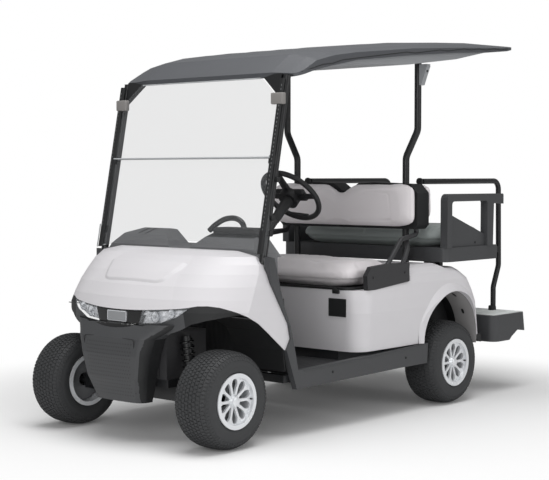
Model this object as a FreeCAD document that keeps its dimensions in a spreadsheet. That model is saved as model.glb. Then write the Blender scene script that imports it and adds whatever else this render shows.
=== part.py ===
"""Four-seat golf cart with a rear-facing seat, canopy and two-piece windshield.

Millimetres.  +X is the vehicle's left, -Y is forward and +Z is up.  Pieces are
drawn from the middle of the front axle, on the ground, and each node is then
moved so that the origin is under the middle of the whole vehicle.
"""
import FreeCAD, Part
import math
import os
import re
from types import SimpleNamespace

import Sketcher
from FreeCAD import Placement, Rotation, Vector

# ---------------------------------------------------------------- driving sizes
# "_lead" is a distance ahead of the rear axle, "_lag" a distance behind it.
SIZES = {
    # whole vehicle
    "wheelbase": 1670, "front_overhang": 235, "rear_overhang": 735,
    "clearance": 0.3, "panel": 4.5, "plate": 4,
    # tyres and rims
    "tyre_radius": 218, "tyre_width": 205, "tyre_wall": 12, "rim_radius": 109.7,
    "rim_wall": 5.7, "rim_width": 196, "flange_radius": 123, "flange_thick": 6,
    "front_wheel_x": 482.5, "rear_wheel_x": 495.5, "disc_recess": 15, "disc_thick": 12,
    "hub_radius": 24, "hub_length": 44, "hub_face": 5, "cap_thick": 6, "window_inner": 31,
    "window_outer": 98, "window_root": 6, "window_tip": 35, "stub_radius": 15,
    # front axle and steering
    "kingpin_x": 385, "kingpin_radius": 9, "knuckle_size": 36, "knuckle_height": 52,
    "beam_depth": 30, "beam_gap": 34, "arm_reach": 110, "arm_width": 24, "arm_thick": 12,
    "arm_drop": 22, "arm_inset": 50,
    "tie_rod_radius": 9, "rod_end_size": 30, "shock_radius": 21, "shock_x": 300, "shock_top": 480,
    # frame
    "rail_x": 225, "rail_width": 50, "rail_bottom": 255, "rail_height": 35, "rail_front": -96,
    "cross_width": 60, "tow_radius": 8, "floor_thick": 8, "floor_half_width": 540,
    # rear axle, springs, motor and battery
    "axle_radius": 26, "axle_flange_radius": 52, "gear_case_radius": 70, "gear_case_width": 120,
    "spring_x": 315, "spring_width": 50, "leaf_thick": 7, "spring_half_length": 330,
    "spring_rise": 18, "motor_length": 230, "motor_size": 150,
    "battery_half_width": 400, "battery_height": 260, "battery_lead_front": 745,
    "battery_lead_back": 330,
    # cowl and bumper
    "cowl_half_width": 565, "bumper_reach": 65, "nose_lip": 598, "cowl_top": 857, "cowl_back": 215,
    "bumper_bottom": 183, "bumper_back": -104, "lamp_depth": 22, "badge_half_width": 140,
    "badge_plate_width": 120, "badge_plate_height": 42, "cover_half_width": 245,
    "cover_top": 500, "cover_front": -100, "cover_back": 150,
    # dash, floor and sills
    "dash_back": 400, "dash_half_width": 545, "dash_low": 700, "pod_height": 85,
    "sill_inner": 545, "sill_outer": 575, "sill_low": 222, "sill_top": 307, "toe_height": 640,
    # pillars, windshield and struts
    "pillar_radius": 17.5, "pillar_wall": 2.5, "pillar_x": 527, "pillar_foot_y": 221,
    "pillar_foot_z": 800, "pillar_top": 1650, "pillar_tilt": 11.3, "glass_thick": 5,
    "glass_offset": 22, "glass_low": 838, "fold_height": 1274, "fold_half_width": 519,
    "glass_top": 1640, "clip_size": 36, "strut_radius": 18, "strut_x": 372,
    "strut_top_x": 446, "strut_lead": 145, "strut_bend_low": 1292,
    "strut_bend_high": 1431,
    # roof
    "roof_front": 412, "roof_lag": 590, "roof_half_width": 575, "roof_corner": 50,
    "roof_skin": 9, "roof_height": 1655, "liner_thick": 6, "liner_lift": 16,
    # steering wheel and pedals
    "wheel_x": 280, "wheel_y": 706, "wheel_z": 1100, "wheel_tilt": 46, "wheel_ring": 165,
    "wheel_grip": 13, "column_radius": 21, "column_length": 480, "shaft_radius": 11, "pedal_width": 70,
    # rear body
    "body_lead": 790, "body_lag": 290, "body_half_width": 575, "body_low": 341,
    "body_corner": 90, "deck_height": 757, "ridge_drop": 15, "deck_drop": 43, "ridge_lead": 352,
    "arch_radius": 252,
    "arch_lag": -12, "arch_height": 342, "flare_width": 44, "flare_out": 25, "liner_inner_x": 381,
    "socket_x": 431,
    "socket_size": 100, "socket_z": 554,
    # seats
    "cushion_half_width": 515, "cushion_low": 651, "cushion_top": 782, "cushion_lead": 805,
    "cushion_length": 427, "hinge_radius": 5, "hinge_pin": 3,
    "hinge_fit": 0.05, "hinge_half": 30, "hinge_x": 180, "pan_thick": 11, "back_half_width": 490,
    "back_low": 914,
    "back_top": 1166, "back_notch": 45, "back_thick": 72, "shell_lead": 35, "shell_lag": 70,
    "rear_back_thick": 58,
    "rest_x": 557, "rest_thick": 26, "rest_radius": 12,
    "tray_half_width": 560, "tray_foot": 29, "tray_height": 75, "tray_lead": 48, "tray_lag": 470,
    "rear_cushion_height": 112, "rear_cushion_half_width": 498, "arm_half_width": 545,
    "arm_bar": 44, "arm_height": 282, "arm_lead": 45, "arm_lag": 500, "arm_leg": 395,
    # rails and footplate
    "grab_radius": 15, "grab_x": 385, "grab_z": 1165, "grab_lag": 736, "post_foot_lag": 744,
    "kink_high": 683, "kink_low": 561, "kink_depth": 54,
    "footplate_top": 428, "footplate_lead": 410, "footplate_half_width": 574,
    "footplate_skirt": 284, "footplate_wall": 5,
    "footplate_flare": 24,
}

doc = FreeCAD.newDocument("golf_cart")
sheet = doc.addObject("Spreadsheet::Sheet", "sizes")
for row, (alias, value) in enumerate(SIZES.items(), 1):
    sheet.set(f"A{row}", alias)
    sheet.set(f"B{row}", str(value))
    sheet.setAlias(f"B{row}", alias)
doc.recompute()
mm = SimpleNamespace(**{alias: float(sheet.get(alias)) for alias in SIZES})

mm.nose_y = mm.bumper_reach - mm.front_overhang
NOSE_Y = "(bumper_reach - front_overhang)"
FLARE = "(body_half_width + flare_out)"
TRAY_LOW = "(deck_height - deck_drop + tray_foot)"
TRAY_TOP = f"({TRAY_LOW} + tray_height)"
ARM_TOP = f"({TRAY_TOP} + arm_height)"
HINGE_Y = "(wheelbase - ridge_lead - 16)"
HINGE_Z = "(deck_height - ridge_drop + 3)"
SPOKES = 10
NODES = {}


# ---------------------------------------------------------------- modelling helpers
def bound(text):
    """Write an expression with each size name pointed at the sheet."""
    return re.sub(r"[a-z][a-z_]*", lambda word: "sizes." + word.group()
                  if word.group() in SIZES else word.group(), str(text))


def bind(thing, **properties):
    """Bind properties of a document object to expressions in the sizes."""
    for name, text in properties.items():
        thing.setExpression(name.replace("__", "."), bound(text))
    return thing


def block(x, y, z):
    """A box between a low and a high expression on each axis."""
    box = doc.addObject("Part::Box", "block")
    for name, (low, high) in zip(("Length", "Width", "Height"), (x, y, z)):
        box.setExpression(name, bound(f"({high}) - ({low})"))
    return bind(box, Placement__Base__x=x[0], Placement__Base__y=y[0], Placement__Base__z=z[0])


TURNS = {"X": Rotation(Vector(0, 1, 0), 90), "Y": Rotation(Vector(1, 0, 0), -90),
         "Z": Rotation()}


def rod(axis, radius, start, length):
    """A cylinder from start along +axis."""
    bar = doc.addObject("Part::Cylinder", "rod")
    bar.Placement = Placement(Vector(), TURNS[axis])
    return bind(bar, Radius=radius, Height=length, Placement__Base__x=start[0],
                Placement__Base__y=start[1], Placement__Base__z=start[2])


def sketch(body, plane, outline, offset="0"):
    """A closed polygon on an origin plane, each corner bound to two expressions."""
    drawing = body.newObject("Sketcher::SketchObject", "outline")
    origin = next(item for item in body.Origin.OriginFeatures if item.Role == plane)
    drawing.AttachmentSupport = [(origin, "")]
    drawing.MapMode = "FlatFace"
    drawing.setExpression("AttachmentOffset.Base.z", bound(offset))
    count = len(outline)
    for index in range(count):
        angle = 2 * math.pi * index / count
        after = 2 * math.pi * (index + 1) / count
        drawing.addGeometry(Part.LineSegment(Vector(math.cos(angle), math.sin(angle), 0),
                                             Vector(math.cos(after), math.sin(after), 0)))
    for index in range(count):
        drawing.addConstraint(Sketcher.Constraint("Coincident", index, 2, (index + 1) % count, 1))
    for index, corner in enumerate(outline):
        for kind, text in zip(("DistanceX", "DistanceY"), corner):
            number = drawing.addConstraint(Sketcher.Constraint(kind, -1, 1, index, 1, 1.0))
            drawing.setExpression(f"Constraints[{number}]", bound(text))
    return drawing


# A pad grows along +X from a side plane, +Z from a plan and -Y from a front plane.
def prism(plane, outline, low, high):
    """A polygon padded from low to high across its plane."""
    body = doc.addObject("PartDesign::Body", "prism")
    start = f"-({high})" if plane == "XZ_Plane" else low
    drawing = sketch(body, plane, outline, start)
    pad = body.newObject("PartDesign::Pad", "pad")
    pad.Profile = drawing
    bind(pad, Length=f"({high}) - ({low})")
    return body


def side(outline, low, high):
    """A (y, z) outline across the vehicle."""
    return prism("YZ_Plane", outline, low, high)


def plan(outline, low, high):
    """An (x, y) outline from one height to another."""
    return prism("XY_Plane", outline, low, high)


def front(outline, low, high):
    """An (x, z) outline from one station to another."""
    return prism("XZ_Plane", outline, low, high)


def turned(outline):
    """An (axial, radial) outline turned about the X axis."""
    body = doc.addObject("PartDesign::Body", "turned")
    drawing = sketch(body, "XY_Plane", outline)
    turn = body.newObject("PartDesign::Revolution", "turn")
    turn.Profile = drawing
    turn.ReferenceAxis = (drawing, ["H_Axis"])
    turn.Angle = 360
    return body


def coded(shape):
    """A piece whose curved shape is worked out in this file."""
    piece = doc.addObject("Part::Feature", "coded")
    piece.Shape = shape
    return piece


def minus(base, *tools):
    """The base with each tool cut away."""
    for tool in tools:
        piece = doc.addObject("Part::Cut", "cut")
        piece.Base, piece.Tool = base, tool
        base = piece
    return base


def plus(*pieces):
    """Pieces joined into one solid."""
    piece = doc.addObject("Part::MultiFuse", "joined")
    piece.Shapes = list(pieces)
    return piece


def common(*pieces):
    """What all the pieces share."""
    piece = doc.addObject("Part::MultiCommon", "common")
    piece.Shapes = list(pieces)
    return piece


def mirrored(source):
    """The same piece on the vehicle's other side."""
    piece = doc.addObject("Part::Mirroring", "mirrored")
    piece.Source, piece.Base, piece.Normal = source, Vector(), Vector(1, 0, 0)
    return piece


def both(*pieces):
    """Each piece and its mirror image."""
    return [item for piece in pieces for item in (piece, mirrored(piece))]


def moved(pieces, x="0", y="0", z="0", turn=None):
    """Pieces gathered at a place, turned about the vertical if asked."""
    group = doc.addObject("Part::Compound", "group")
    group.Links = list(pieces)
    if turn is not None:
        group.Placement = Placement(Vector(), turn)
    return bind(group, Placement__Base__x=x, Placement__Base__y=y, Placement__Base__z=z)


def node(label, *pieces):
    """A named sub-part, shifted so that the origin is under the vehicle's middle."""
    group = doc.addObject("Part::Compound", label)
    group.Label = label
    group.Links = list(pieces)
    bind(group, Placement__Base__y="(front_overhang - wheelbase - rear_overhang) / 2")
    NODES[label] = group


def bent_path(points, radius):
    """Straight runs joined by tangent arcs through the inner points."""
    corners = [Vector(*point) for point in points]
    edges, last = [], corners[0]
    for before, corner, after in zip(corners, corners[1:], corners[2:]):
        into, out = (corner - before).normalize(), (after - corner).normalize()
        half_turn = into.getAngle(out) / 2
        cut = radius * math.tan(half_turn)
        start, end = corner - into * cut, corner + out * cut
        inward = (out - into).normalize()
        middle = corner + inward * (radius / math.cos(half_turn) - radius)
        edges += [Part.LineSegment(last, start).toShape(), Part.Arc(start, middle, end).toShape()]
        last = end
    edges.append(Part.LineSegment(last, corners[-1]).toShape())
    return Part.Wire(edges)


def tube(points, radius, bend=60):
    """A round bar along a bent path."""
    path = bent_path(points, bend) if len(points) > 2 else Part.Wire(
        Part.LineSegment(Vector(*points[0]), Vector(*points[1])).toShape())
    start = Vector(*points[0])
    heading = Vector(*points[1]) - start
    ring = Part.Wire(Part.makeCircle(radius, start, heading))
    return path.makePipeShell([ring], True, False)


def loft(wires):
    """A solid with straight rulings between closed wires."""
    return Part.makeLoft(wires, True, True)


def line(a, b):
    return Part.LineSegment(a, b).toShape()


def arc(a, middle, b):
    return Part.Arc(a, middle, b).toShape()


# ---------------------------------------------------------------- wheels
def tyre():
    """A carcass with rounded shoulders, open towards the rim."""
    # share of the half width, share of the height from rim to tread
    outside = [(0.88, 0), (0.88, 0.12), (0.95, 0.2), (1, 0.42), (0.97, 0.62), (0.88, 0.8),
               (0.74, 0.92), (0.48, 0.985)]
    inside = [(0.4, 0.89), (0.7, 0.76), (0.88, 0.45), (0.7, 0)]
    outline = [(f"{sign * across} * tyre_width / 2",
                f"rim_radius + clearance + {up} * (tyre_radius - rim_radius - clearance)")
               for sign, run in ((-1, outside), (1, outside[::-1]))
               for across, up in run]
    outline.insert(len(outside), ("0", "tyre_radius"))
    inner = [(f"{sign * across} * tyre_width / 2",
              f"rim_radius + clearance + {up} * (tyre_radius - rim_radius - clearance)")
             for sign, run in ((1, inside[::-1]), (-1, inside)) for across, up in run]
    return turned(outline + inner)


def rim():
    """A ten-spoke wheel: barrel, flanges, dished disc, hub and centre cap."""
    edge, disc = "rim_width / 2", "(rim_width / 2 - disc_recess)"
    inner = "(rim_radius - rim_wall)"
    hub_face = f"({disc} + hub_face)"
    outline = [(f"-{edge}", inner), (f"-{edge}", "flange_radius"),
               (f"flange_thick - {edge}", "flange_radius"),
               (f"flange_thick - {edge}", "rim_radius"), (f"{edge} - flange_thick", "rim_radius"),
               (f"{edge} - flange_thick", "flange_radius"), (edge, "flange_radius"),
               (edge, inner), (disc, f"{inner} - 2"), (f"{disc} - flange_thick", "hub_radius + 6"),
               (hub_face, "hub_radius"), (hub_face, "0"), (f"{hub_face} - cap_thick", "0"),
               (f"{hub_face} - cap_thick", "stub_radius + clearance"),
               (f"{hub_face} - hub_length", "stub_radius + clearance"),
               (f"{hub_face} - hub_length", "hub_radius"),
               (f"{disc} - disc_thick - flange_thick", "hub_radius"),
               (f"{disc} - disc_thick", inner)]
    body = turned(outline)
    window = sketch(body, "YZ_Plane",
                    [("-window_root / 2", "window_inner"), ("window_root / 2", "window_inner"),
                     ("window_tip / 2", "window_outer * 0.74"), ("window_tip * 0.44", "window_outer - 9"),
                     ("window_tip / 5", "window_outer"), ("-window_tip / 5", "window_outer"),
                     ("-window_tip * 0.44", "window_outer - 9"),
                     ("-window_tip / 2", "window_outer * 0.74")],
                    "rim_width")
    pocket = body.newObject("PartDesign::Pocket", "window")
    pocket.Profile = window
    bind(pocket, Length="rim_width * 1.5")
    pattern = body.newObject("PartDesign::PolarPattern", "spokes")
    pattern.Originals = [pocket]
    pattern.Axis = (next(item for item in body.Origin.OriginFeatures
                         if item.Role == "X_Axis"), [""])
    pattern.Angle = 360
    pattern.Occurrences = SPOKES
    body.Tip = pattern
    return body


def wheels():
    outward = {"left": None, "right": Rotation(Vector(0, 0, 1), 180)}
    for end, across, along in (("front", "front_wheel_x", "0"), ("rear", "rear_wheel_x", "wheelbase")):
        for hand, turn in outward.items():
            x = across if hand == "left" else f"-{across}"
            node(f"tyre_{end}_{hand}", moved([tyre()], x, along, "tyre_radius", turn))
            node(f"rim_{end}_{hand}", moved([rim()], x, along, "tyre_radius", turn))


# ---------------------------------------------------------------- front axle and steering
STUB_END = ("(rim_width / 2 - disc_recess + hub_face - cap_thick - clearance)")


def knuckle():
    """Kingpin, block, stub axle and steering arm of the left wheel."""
    half, tall = "knuckle_size / 2", "knuckle_height / 2"
    body = block(("kingpin_x - " + half, "kingpin_x + " + half), ("-" + half, half),
                 ("tyre_radius - " + tall, "tyre_radius + " + tall))
    pin = rod("Z", "kingpin_radius", ("kingpin_x", "0", "tyre_radius - knuckle_height / 2 - 10"),
              "knuckle_height + 20")
    stub = rod("X", "stub_radius", ("kingpin_x", "0", "tyre_radius"),
               f"front_wheel_x - kingpin_x + {STUB_END}")
    eye = "kingpin_x - arm_inset"
    arm = plan([("kingpin_x - 22", "4"), ("kingpin_x - 2", "4"),
                (f"{eye} + arm_width / 2", "arm_reach"), (f"{eye} + arm_width / 2", "arm_reach + 14"),
                (f"{eye} - arm_width / 2", "arm_reach + 14"), (f"{eye} - arm_width / 2", "arm_reach")],
               "tyre_radius - arm_drop", "tyre_radius - arm_drop + arm_thick")
    return plus(body, pin, stub, arm)


def front_axle():
    left = knuckle()
    node("knuckle_left", left)
    node("knuckle_right", mirrored(knuckle()))
    tall = "(knuckle_height / 2 + 0.5)"
    end = "kingpin_x - knuckle_size / 2 - beam_gap"
    beam = block((f"-({end})", end), ("-beam_depth / 2", "beam_depth / 2"),
                 ("tyre_radius - 36", "rail_bottom"))
    ears = []
    for low, high in ((f"tyre_radius - 36", f"tyre_radius - {tall}"),
                      (f"tyre_radius + {tall}", "rail_bottom")):
        ear = block((f"{end} - 1", "kingpin_x + kingpin_radius + 7"),
                    ("-beam_depth / 2", "beam_depth / 2"), (low, high))
        ears += both(minus(ear, rod("Z", "kingpin_radius + clearance",
                                    ("kingpin_x", "0", f"{low} - 1"), "40")))
    node("front_axle_beam", plus(beam, *ears))
    arm_x = "kingpin_x - arm_inset"
    bar_z = "tyre_radius - arm_drop + arm_thick + clearance + rod_end_size / 2"
    bar = rod("X", "tie_rod_radius", (f"-({arm_x})", "arm_reach", bar_z), f"2 * ({arm_x})")
    eyes = both(block((f"{arm_x} - rod_end_size / 2", f"{arm_x} + rod_end_size / 2"),
                      ("arm_reach - rod_end_size / 2", "arm_reach + rod_end_size / 2"),
                      (f"{bar_z} - rod_end_size / 2", f"{bar_z} + rod_end_size / 2")))
    node("tie_rod", plus(bar, *eyes))


def shocks():
    """Front dampers between the axle beam and the nose cover."""
    shock = coded(tube([(mm.shock_x, 0, mm.rail_bottom + 4),
                        (mm.cover_half_width + mm.shock_radius + 2, 0, mm.shock_top)],
                       mm.shock_radius))
    return both(shock)


# ---------------------------------------------------------------- frame, rear axle, battery
def stays():
    """Legs that carry the footplate on the frame's tail."""
    high = "rail_bottom + rail_height"
    tail = ("wheelbase + rear_overhang - 60 - cross_width", "wheelbase + rear_overhang - 60")
    leg = block(("grab_x - 20", "grab_x + 20"), tail, (high, "footplate_top - footplate_wall"))
    foot = block(("rail_x - 20", "grab_x - 20 - clearance"), tail, (high, f"{high} + 30"))
    return both(leg, foot)


def frame():
    height = ("rail_bottom", "rail_bottom + rail_height")
    near, far = "rail_x - rail_width / 2", "rail_x + rail_width / 2"
    rails = both(block((near, far), ("rail_front", "wheelbase + rear_overhang - 60"), height))
    members = []
    for start in ("rail_front", "330", "wheelbase - body_lead + 40", "wheelbase - 230",
                  "wheelbase + body_lag - 80", "wheelbase + rear_overhang - 60 - cross_width"):
        members.append(block((f"clearance - ({near})", f"{near} - clearance"),
                             (start, f"{start} + cross_width"), height))
    outriggers = []
    for start in ("345", "wheelbase - body_lead - 60", "wheelbase - 400"):
        outriggers += both(block((f"{far} + clearance", "sill_inner"), (start, f"{start} + 40"),
                                 height))
    pin = rod("Z", "tow_radius", ("0", "wheelbase + rear_overhang - 60 - cross_width / 2",
                                  "rail_bottom - 1"), "rail_height + 2")
    node("chassis_frame", *rails, *members[:-1], minus(members[-1], pin), *outriggers)


def floor():
    high = "rail_bottom + rail_height"
    pan = block(("-floor_half_width", "floor_half_width"), ("400", "wheelbase - body_lead - 2"),
                (high, f"{high} + floor_thick"))
    toe = side([("400", high), ("400", f"{high} + floor_thick"),
                ("345 + floor_thick", "toe_height"), ("345", "toe_height"),
                ("400 - floor_thick", high)], "-floor_half_width", "floor_half_width")
    node("floor", plus(pan, toe))


def rear_axle():
    height = "tyre_radius"
    stub_end = f"rear_wheel_x + {STUB_END}"
    hub_in = "rear_wheel_x + rim_width / 2 - disc_recess + hub_face - hub_length - clearance"
    tube_end = f"({hub_in} - 10)"
    housing = rod("X", "axle_radius", (f"-{tube_end}", "wheelbase", height), f"2 * {tube_end}")
    stub = rod("X", "stub_radius", (f"-({stub_end})", "wheelbase", height), f"2 * ({stub_end})")
    plates = both(rod("X", "axle_flange_radius", ("rear_wheel_x + 15", "wheelbase", height), "12"))
    case = rod("X", "gear_case_radius", ("-gear_case_width / 2", "wheelbase", height),
               "gear_case_width")
    node("rear_axle", plus(housing, stub, case, *plates))
    motor = block(("-gear_case_width / 2 - clearance - motor_length",
                   "-gear_case_width / 2 - clearance"),
                  ("wheelbase - motor_size - 50", "wheelbase - 50"),
                  (f"{height} - motor_size / 2", f"{height} - 6"))
    node("drive_motor", motor)
    top = "tyre_radius + axle_radius"
    leaves = []
    for index, share in enumerate((1, 0.72, 0.45)):
        base = f"({top} + {2 - index} * leaf_thick)"
        run = f"spring_half_length * {share}"
        rise = f"spring_rise * {share} * {share}"
        leaves.append(side([(f"wheelbase - {run}", f"{base} + {rise}"),
                            ("wheelbase - 60", base), ("wheelbase + 60", base),
                            (f"wheelbase + {run}", f"{base} + {rise}"),
                            (f"wheelbase + {run}", f"{base} + {rise} + leaf_thick"),
                            ("wheelbase + 60", f"{base} + leaf_thick"),
                            ("wheelbase - 60", f"{base} + leaf_thick"),
                            (f"wheelbase - {run}", f"{base} + {rise} + leaf_thick")],
                           "spring_x - spring_width / 2", "spring_x + spring_width / 2"))
    end_z = f"{top} + 2 * leaf_thick + spring_rise"
    hangers = [block(("rail_x + rail_width / 2", "spring_x + spring_width / 2"),
                     (f"wheelbase {sign} spring_half_length - 12",
                      f"wheelbase {sign} spring_half_length + 12"),
                     (f"{end_z} - 14", f"{end_z} + leaf_thick")) for sign in "-+"]
    node("suspension", *shocks(), *both(plus(*leaves, *hangers)))


def battery():
    base = "rail_bottom + rail_height"
    node("battery_pack", block(("-battery_half_width", "battery_half_width"),
                               ("wheelbase - battery_lead_front", "wheelbase - battery_lead_back"),
                               (base, f"{base} + battery_height")))


# ---------------------------------------------------------------- cowl, bumper and lamps
def nose_wire(height, half, nose, shoulder_x, shoulder_y, side_y, back):
    """A plan outline with a bowed nose, two swept corners and straight sides."""
    def corner(sign):
        run = Vector(half - shoulder_x, side_y - shoulder_y, 0)
        bow = Vector(run.y, -run.x, 0) * 0.12
        return Vector(sign * (half + shoulder_x) / 2 + sign * bow.x,
                      (side_y + shoulder_y) / 2 + bow.y, height)
    right, left = Vector(-half, side_y, height), Vector(half, side_y, height)
    nose_right = Vector(-shoulder_x, shoulder_y, height)
    nose_left = Vector(shoulder_x, shoulder_y, height)
    back_right, back_left = Vector(-half, back, height), Vector(half, back, height)
    return Part.Wire([line(back_right, right), arc(right, corner(-1), nose_right),
                      arc(nose_right, Vector(0, nose, height), nose_left),
                      arc(nose_left, corner(1), left), line(left, back_left),
                      line(back_left, back_right)])


# height share, half-width share, nose set back, shoulder x share, shoulder set back, side start
COWL_SECTIONS = [(-0.8, 1, 0, 0.53, 45, 90), (0, 1, 0, 0.53, 45, 90), (0.2, 0.997, 24, 0.505, 65, 115),
                 (0.417, 0.99, 65, 0.47, 100, 140), (0.625, 0.975, 120, 0.443, 150, 170),
                 (0.78, 0.95, 170, 0.435, 200, 187), (0.915, 0.89, 245, 0.41, 262, 200),
                 (1, 0.68, 340, 0.27, 346, 206)]
# height share, half width, nose reach ahead of the cowl's, shoulder x, shoulder reach, side start
BUMPER_SECTIONS = [(0, 157, 12, 120, 4, -142), (0.3, 188, 50, 154, 42, -164),
                   (0.6, 213, 63, 176, 54, -172), (0.82, 241, 60, 192, 48, -166),
                   (1, 330, 22, 180, 8, -106)]


def cowl_solid(inset, back_extra=0):
    """The cowl's outer form, or what lies inside a wall of the inset."""
    tall = mm.cowl_top - mm.nose_lip
    return loft([nose_wire(mm.nose_lip + share * tall - inset, mm.cowl_half_width * half - inset,
                           mm.nose_y + set_back + inset, mm.cowl_half_width * across,
                           mm.nose_y + shoulder + inset * 1.1, side_y + inset * 0.5,
                           mm.cowl_back + 175 + back_extra)
                 for share, half, set_back, across, shoulder, side_y in COWL_SECTIONS])


def bumper_solid(inset):
    """The bumper below the lamps, or what lies inside its wall."""
    top = mm.nose_lip - 58
    tall = top - mm.bumper_bottom
    grow = 1 if inset else 0
    wires = []
    for share, half, reach, across, shoulder, side_y in BUMPER_SECTIONS:
        height = mm.bumper_bottom + share * tall
        if inset and share == 0:
            height -= 2 * inset
        if inset and share == 1:
            height += 2 * inset
        wires.append(nose_wire(height, half - inset, mm.nose_y - reach + inset, across,
                               mm.nose_y - shoulder + inset, side_y + inset * 0.5,
                               mm.bumper_back + 60 * grow))
    return loft(wires)


COWL_EDGE = [(f"{NOSE_Y} - 130", "nose_lip"), (NOSE_Y, "nose_lip"),
             (f"{NOSE_Y} + 60", "nose_lip + 16"), ("-70", "nose_lip + 29"), ("-45", "nose_lip + 30"),
             ("-13", "nose_lip + 24"), ("36", "nose_lip + 4"), ("90", "nose_lip - 22"),
             ("155", "nose_lip - 54"), ("227", "nose_lip - 108"), ("286", "nose_lip - 154"),
             ("333", "nose_lip - 190")]
COWL_REAR = [("363", "nose_lip - 140"), ("347", "nose_lip - 71"), ("286", "nose_lip + 26"),
             ("236", "nose_lip + 115"), ("cowl_back", "nose_lip + 184")]


def cowl():
    """Body-coloured cowl with its wheel arches, open below and behind."""
    shell = coded(cowl_solid(0).cut(cowl_solid(mm.panel, 50)))
    profile = side(COWL_EDGE + COWL_REAR + [("cowl_back", "cowl_top + 40"),
                                            (f"{NOSE_Y} - 130", "cowl_top + 40")],
                   "-cowl_half_width - 20", "cowl_half_width + 20")
    node("front_cowl", minus(common(shell, profile), *pillar_space()))


LAMP_WINDOW = [("badge_half_width + 32", "nose_lip + 60"), ("378", "nose_lip + 60"),
               ("387", "nose_lip + 27"), ("330", "nose_lip - 23"), ("240", "nose_lip - 57"),
               ("badge_half_width - 10", "nose_lip - 63")]


def bumper():
    """Charcoal bumper with its wing bands, the lamps and the blank badge set in it."""
    band = side(COWL_EDGE[:8] + [("55", "nose_lip - 10"), ("0", "nose_lip - 18"),
                                 ("-56", "nose_lip - 33"), ("-92", "nose_lip - 50"),
                                 (f"{NOSE_Y} + 40", "nose_lip - 100"),
                                 (f"{NOSE_Y} - 130", "nose_lip - 100")],
                "-cowl_half_width - 20", "cowl_half_width + 20")
    skin = common(coded(cowl_solid(0).cut(cowl_solid(mm.panel, 50))), band)
    lower = coded(bumper_solid(0).cut(bumper_solid(mm.panel)))
    ahead = (f"{NOSE_Y} - 200", f"{NOSE_Y} + 110")
    node("front_bumper", minus(plus(skin, lower), *both(front(LAMP_WINDOW, *ahead))))
    deep = coded(cowl_solid(0).cut(cowl_solid(mm.lamp_depth, 50)))
    lamp = front([("badge_half_width + 33", "nose_lip + 58"), ("376", "nose_lip + 58"),
                  ("385", "nose_lip + 27"), ("329", "nose_lip - 22"), ("240", "nose_lip - 56"),
                  ("badge_half_width - 9", "nose_lip - 62")], *ahead)
    node("headlights", *both(common(deep, band, lamp)))
    node("badge_plate", block(("-badge_plate_width / 2", "badge_plate_width / 2"),
                              (f"{NOSE_Y} - 4", f"{NOSE_Y} - clearance"),
                              ("nose_lip - 52", "nose_lip - 52 + badge_plate_height")))


def front_cover():
    """Black cover over the frame's nose, open below and behind."""
    outer = block(("-cover_half_width", "cover_half_width"), ("cover_front", "cover_back"),
                  ("rail_bottom + rail_height", "cover_top"))
    inner = block(("plate - cover_half_width", "cover_half_width - plate"),
                  ("cover_front + plate", "cover_back + 1"),
                  ("rail_bottom", "cover_top - plate"))
    node("front_cover", minus(outer, inner))


def front_liners():
    """Black liners that follow the back and the top of each front wheel arch."""
    path = [(338, -288), (322, -190), (262, -98), (150, -38), (20, -19.4)]
    low = [(f"{y}", f"nose_lip + {z}") for y, z in path]
    high = [(f"{y} + plate", f"nose_lip + {z} + plate") for y, z in path[::-1]]
    liner = side(low + high, "cover_half_width + 22", "cowl_half_width - panel - clearance")
    return both(liner)


# ---------------------------------------------------------------- dash, sills and pillars
def dash():
    """Dash with two raised pods, hollow underneath."""
    top = "cowl_top"
    body = side([("cowl_back", "dash_low + 90"), ("cowl_back", top), ("cowl_back + 40", f"{top} + 6"),
                 ("dash_back - 40", f"{top} + 18"), ("dash_back", f"{top} - 12"),
                 ("dash_back - 10", "dash_low + 30"), ("dash_back - 45", "dash_low"),
                 ("cowl_back + 120", "dash_low")], "-dash_half_width", "dash_half_width")
    arch = front([("-dash_half_width", "dash_low - 1"), ("-dash_half_width", f"{top} - 27"),
                  ("-500", f"{top} - 15"), ("-400", f"{top} - 4"), ("-150", f"{top} + 20"),
                  ("150", f"{top} + 20"), ("400", f"{top} - 4"), ("500", f"{top} - 15"),
                  ("dash_half_width", f"{top} - 27"), ("dash_half_width", "dash_low - 1")],
                 "0", "600")
    swept = plan([("-dash_half_width", "cowl_back"), ("dash_half_width", "cowl_back"),
                  ("dash_half_width", "dash_back - 95"), ("450", "dash_back"),
                  ("-450", "dash_back"), ("-dash_half_width", "dash_back - 95")], "500", "1200")
    room = plan([("-dash_half_width", "cowl_back"), ("dash_half_width", "cowl_back"),
                 ("dash_half_width", "dash_back - 135"), ("430", "dash_back - 40"),
                 ("-430", "dash_back - 40"), ("-dash_half_width", "dash_back - 135")], "500", "1200")
    hollow = side([("cowl_back + plate * 2", "dash_low + 94"), ("cowl_back + plate * 2", f"{top} - 60"),
                   ("dash_back - 50", f"{top} - 50"), ("dash_back - 50", "dash_low + 24"),
                   ("cowl_back + 120", "dash_low + 12")],
                  "plate * 2 - dash_half_width", "dash_half_width - plate * 2")
    hump = side([("cowl_back + 10", f"{top} - 30"), ("cowl_back + 10", f"{top} + 8"),
                 ("cowl_back + 55", f"{top} + pod_height * 0.65"),
                 ("cowl_back + 115", f"{top} + pod_height"),
                 ("dash_back - 35", f"{top} + pod_height - 5"), ("dash_back - 22", f"{top} - 30")],
                "-dash_half_width", "dash_half_width")
    pods = []
    for sign in (-1, 1):
        ends = [("55", f"{top} - 10"), ("160", f"{top} + pod_height"),
                ("345", f"{top} + pod_height"), ("430", f"{top} + pod_height * 0.7"),
                ("505", f"{top} - 30")]
        across = front([(f"{sign} * {x}", z) for x, z in ends], "cowl_back + 8", "dash_back - 20")
        pods.append(common(across, hump))
    shell = plus(common(body, arch, swept), *pods)
    node("dash", minus(shell, common(hollow, room), column_space(), *pillar_space()))


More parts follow.
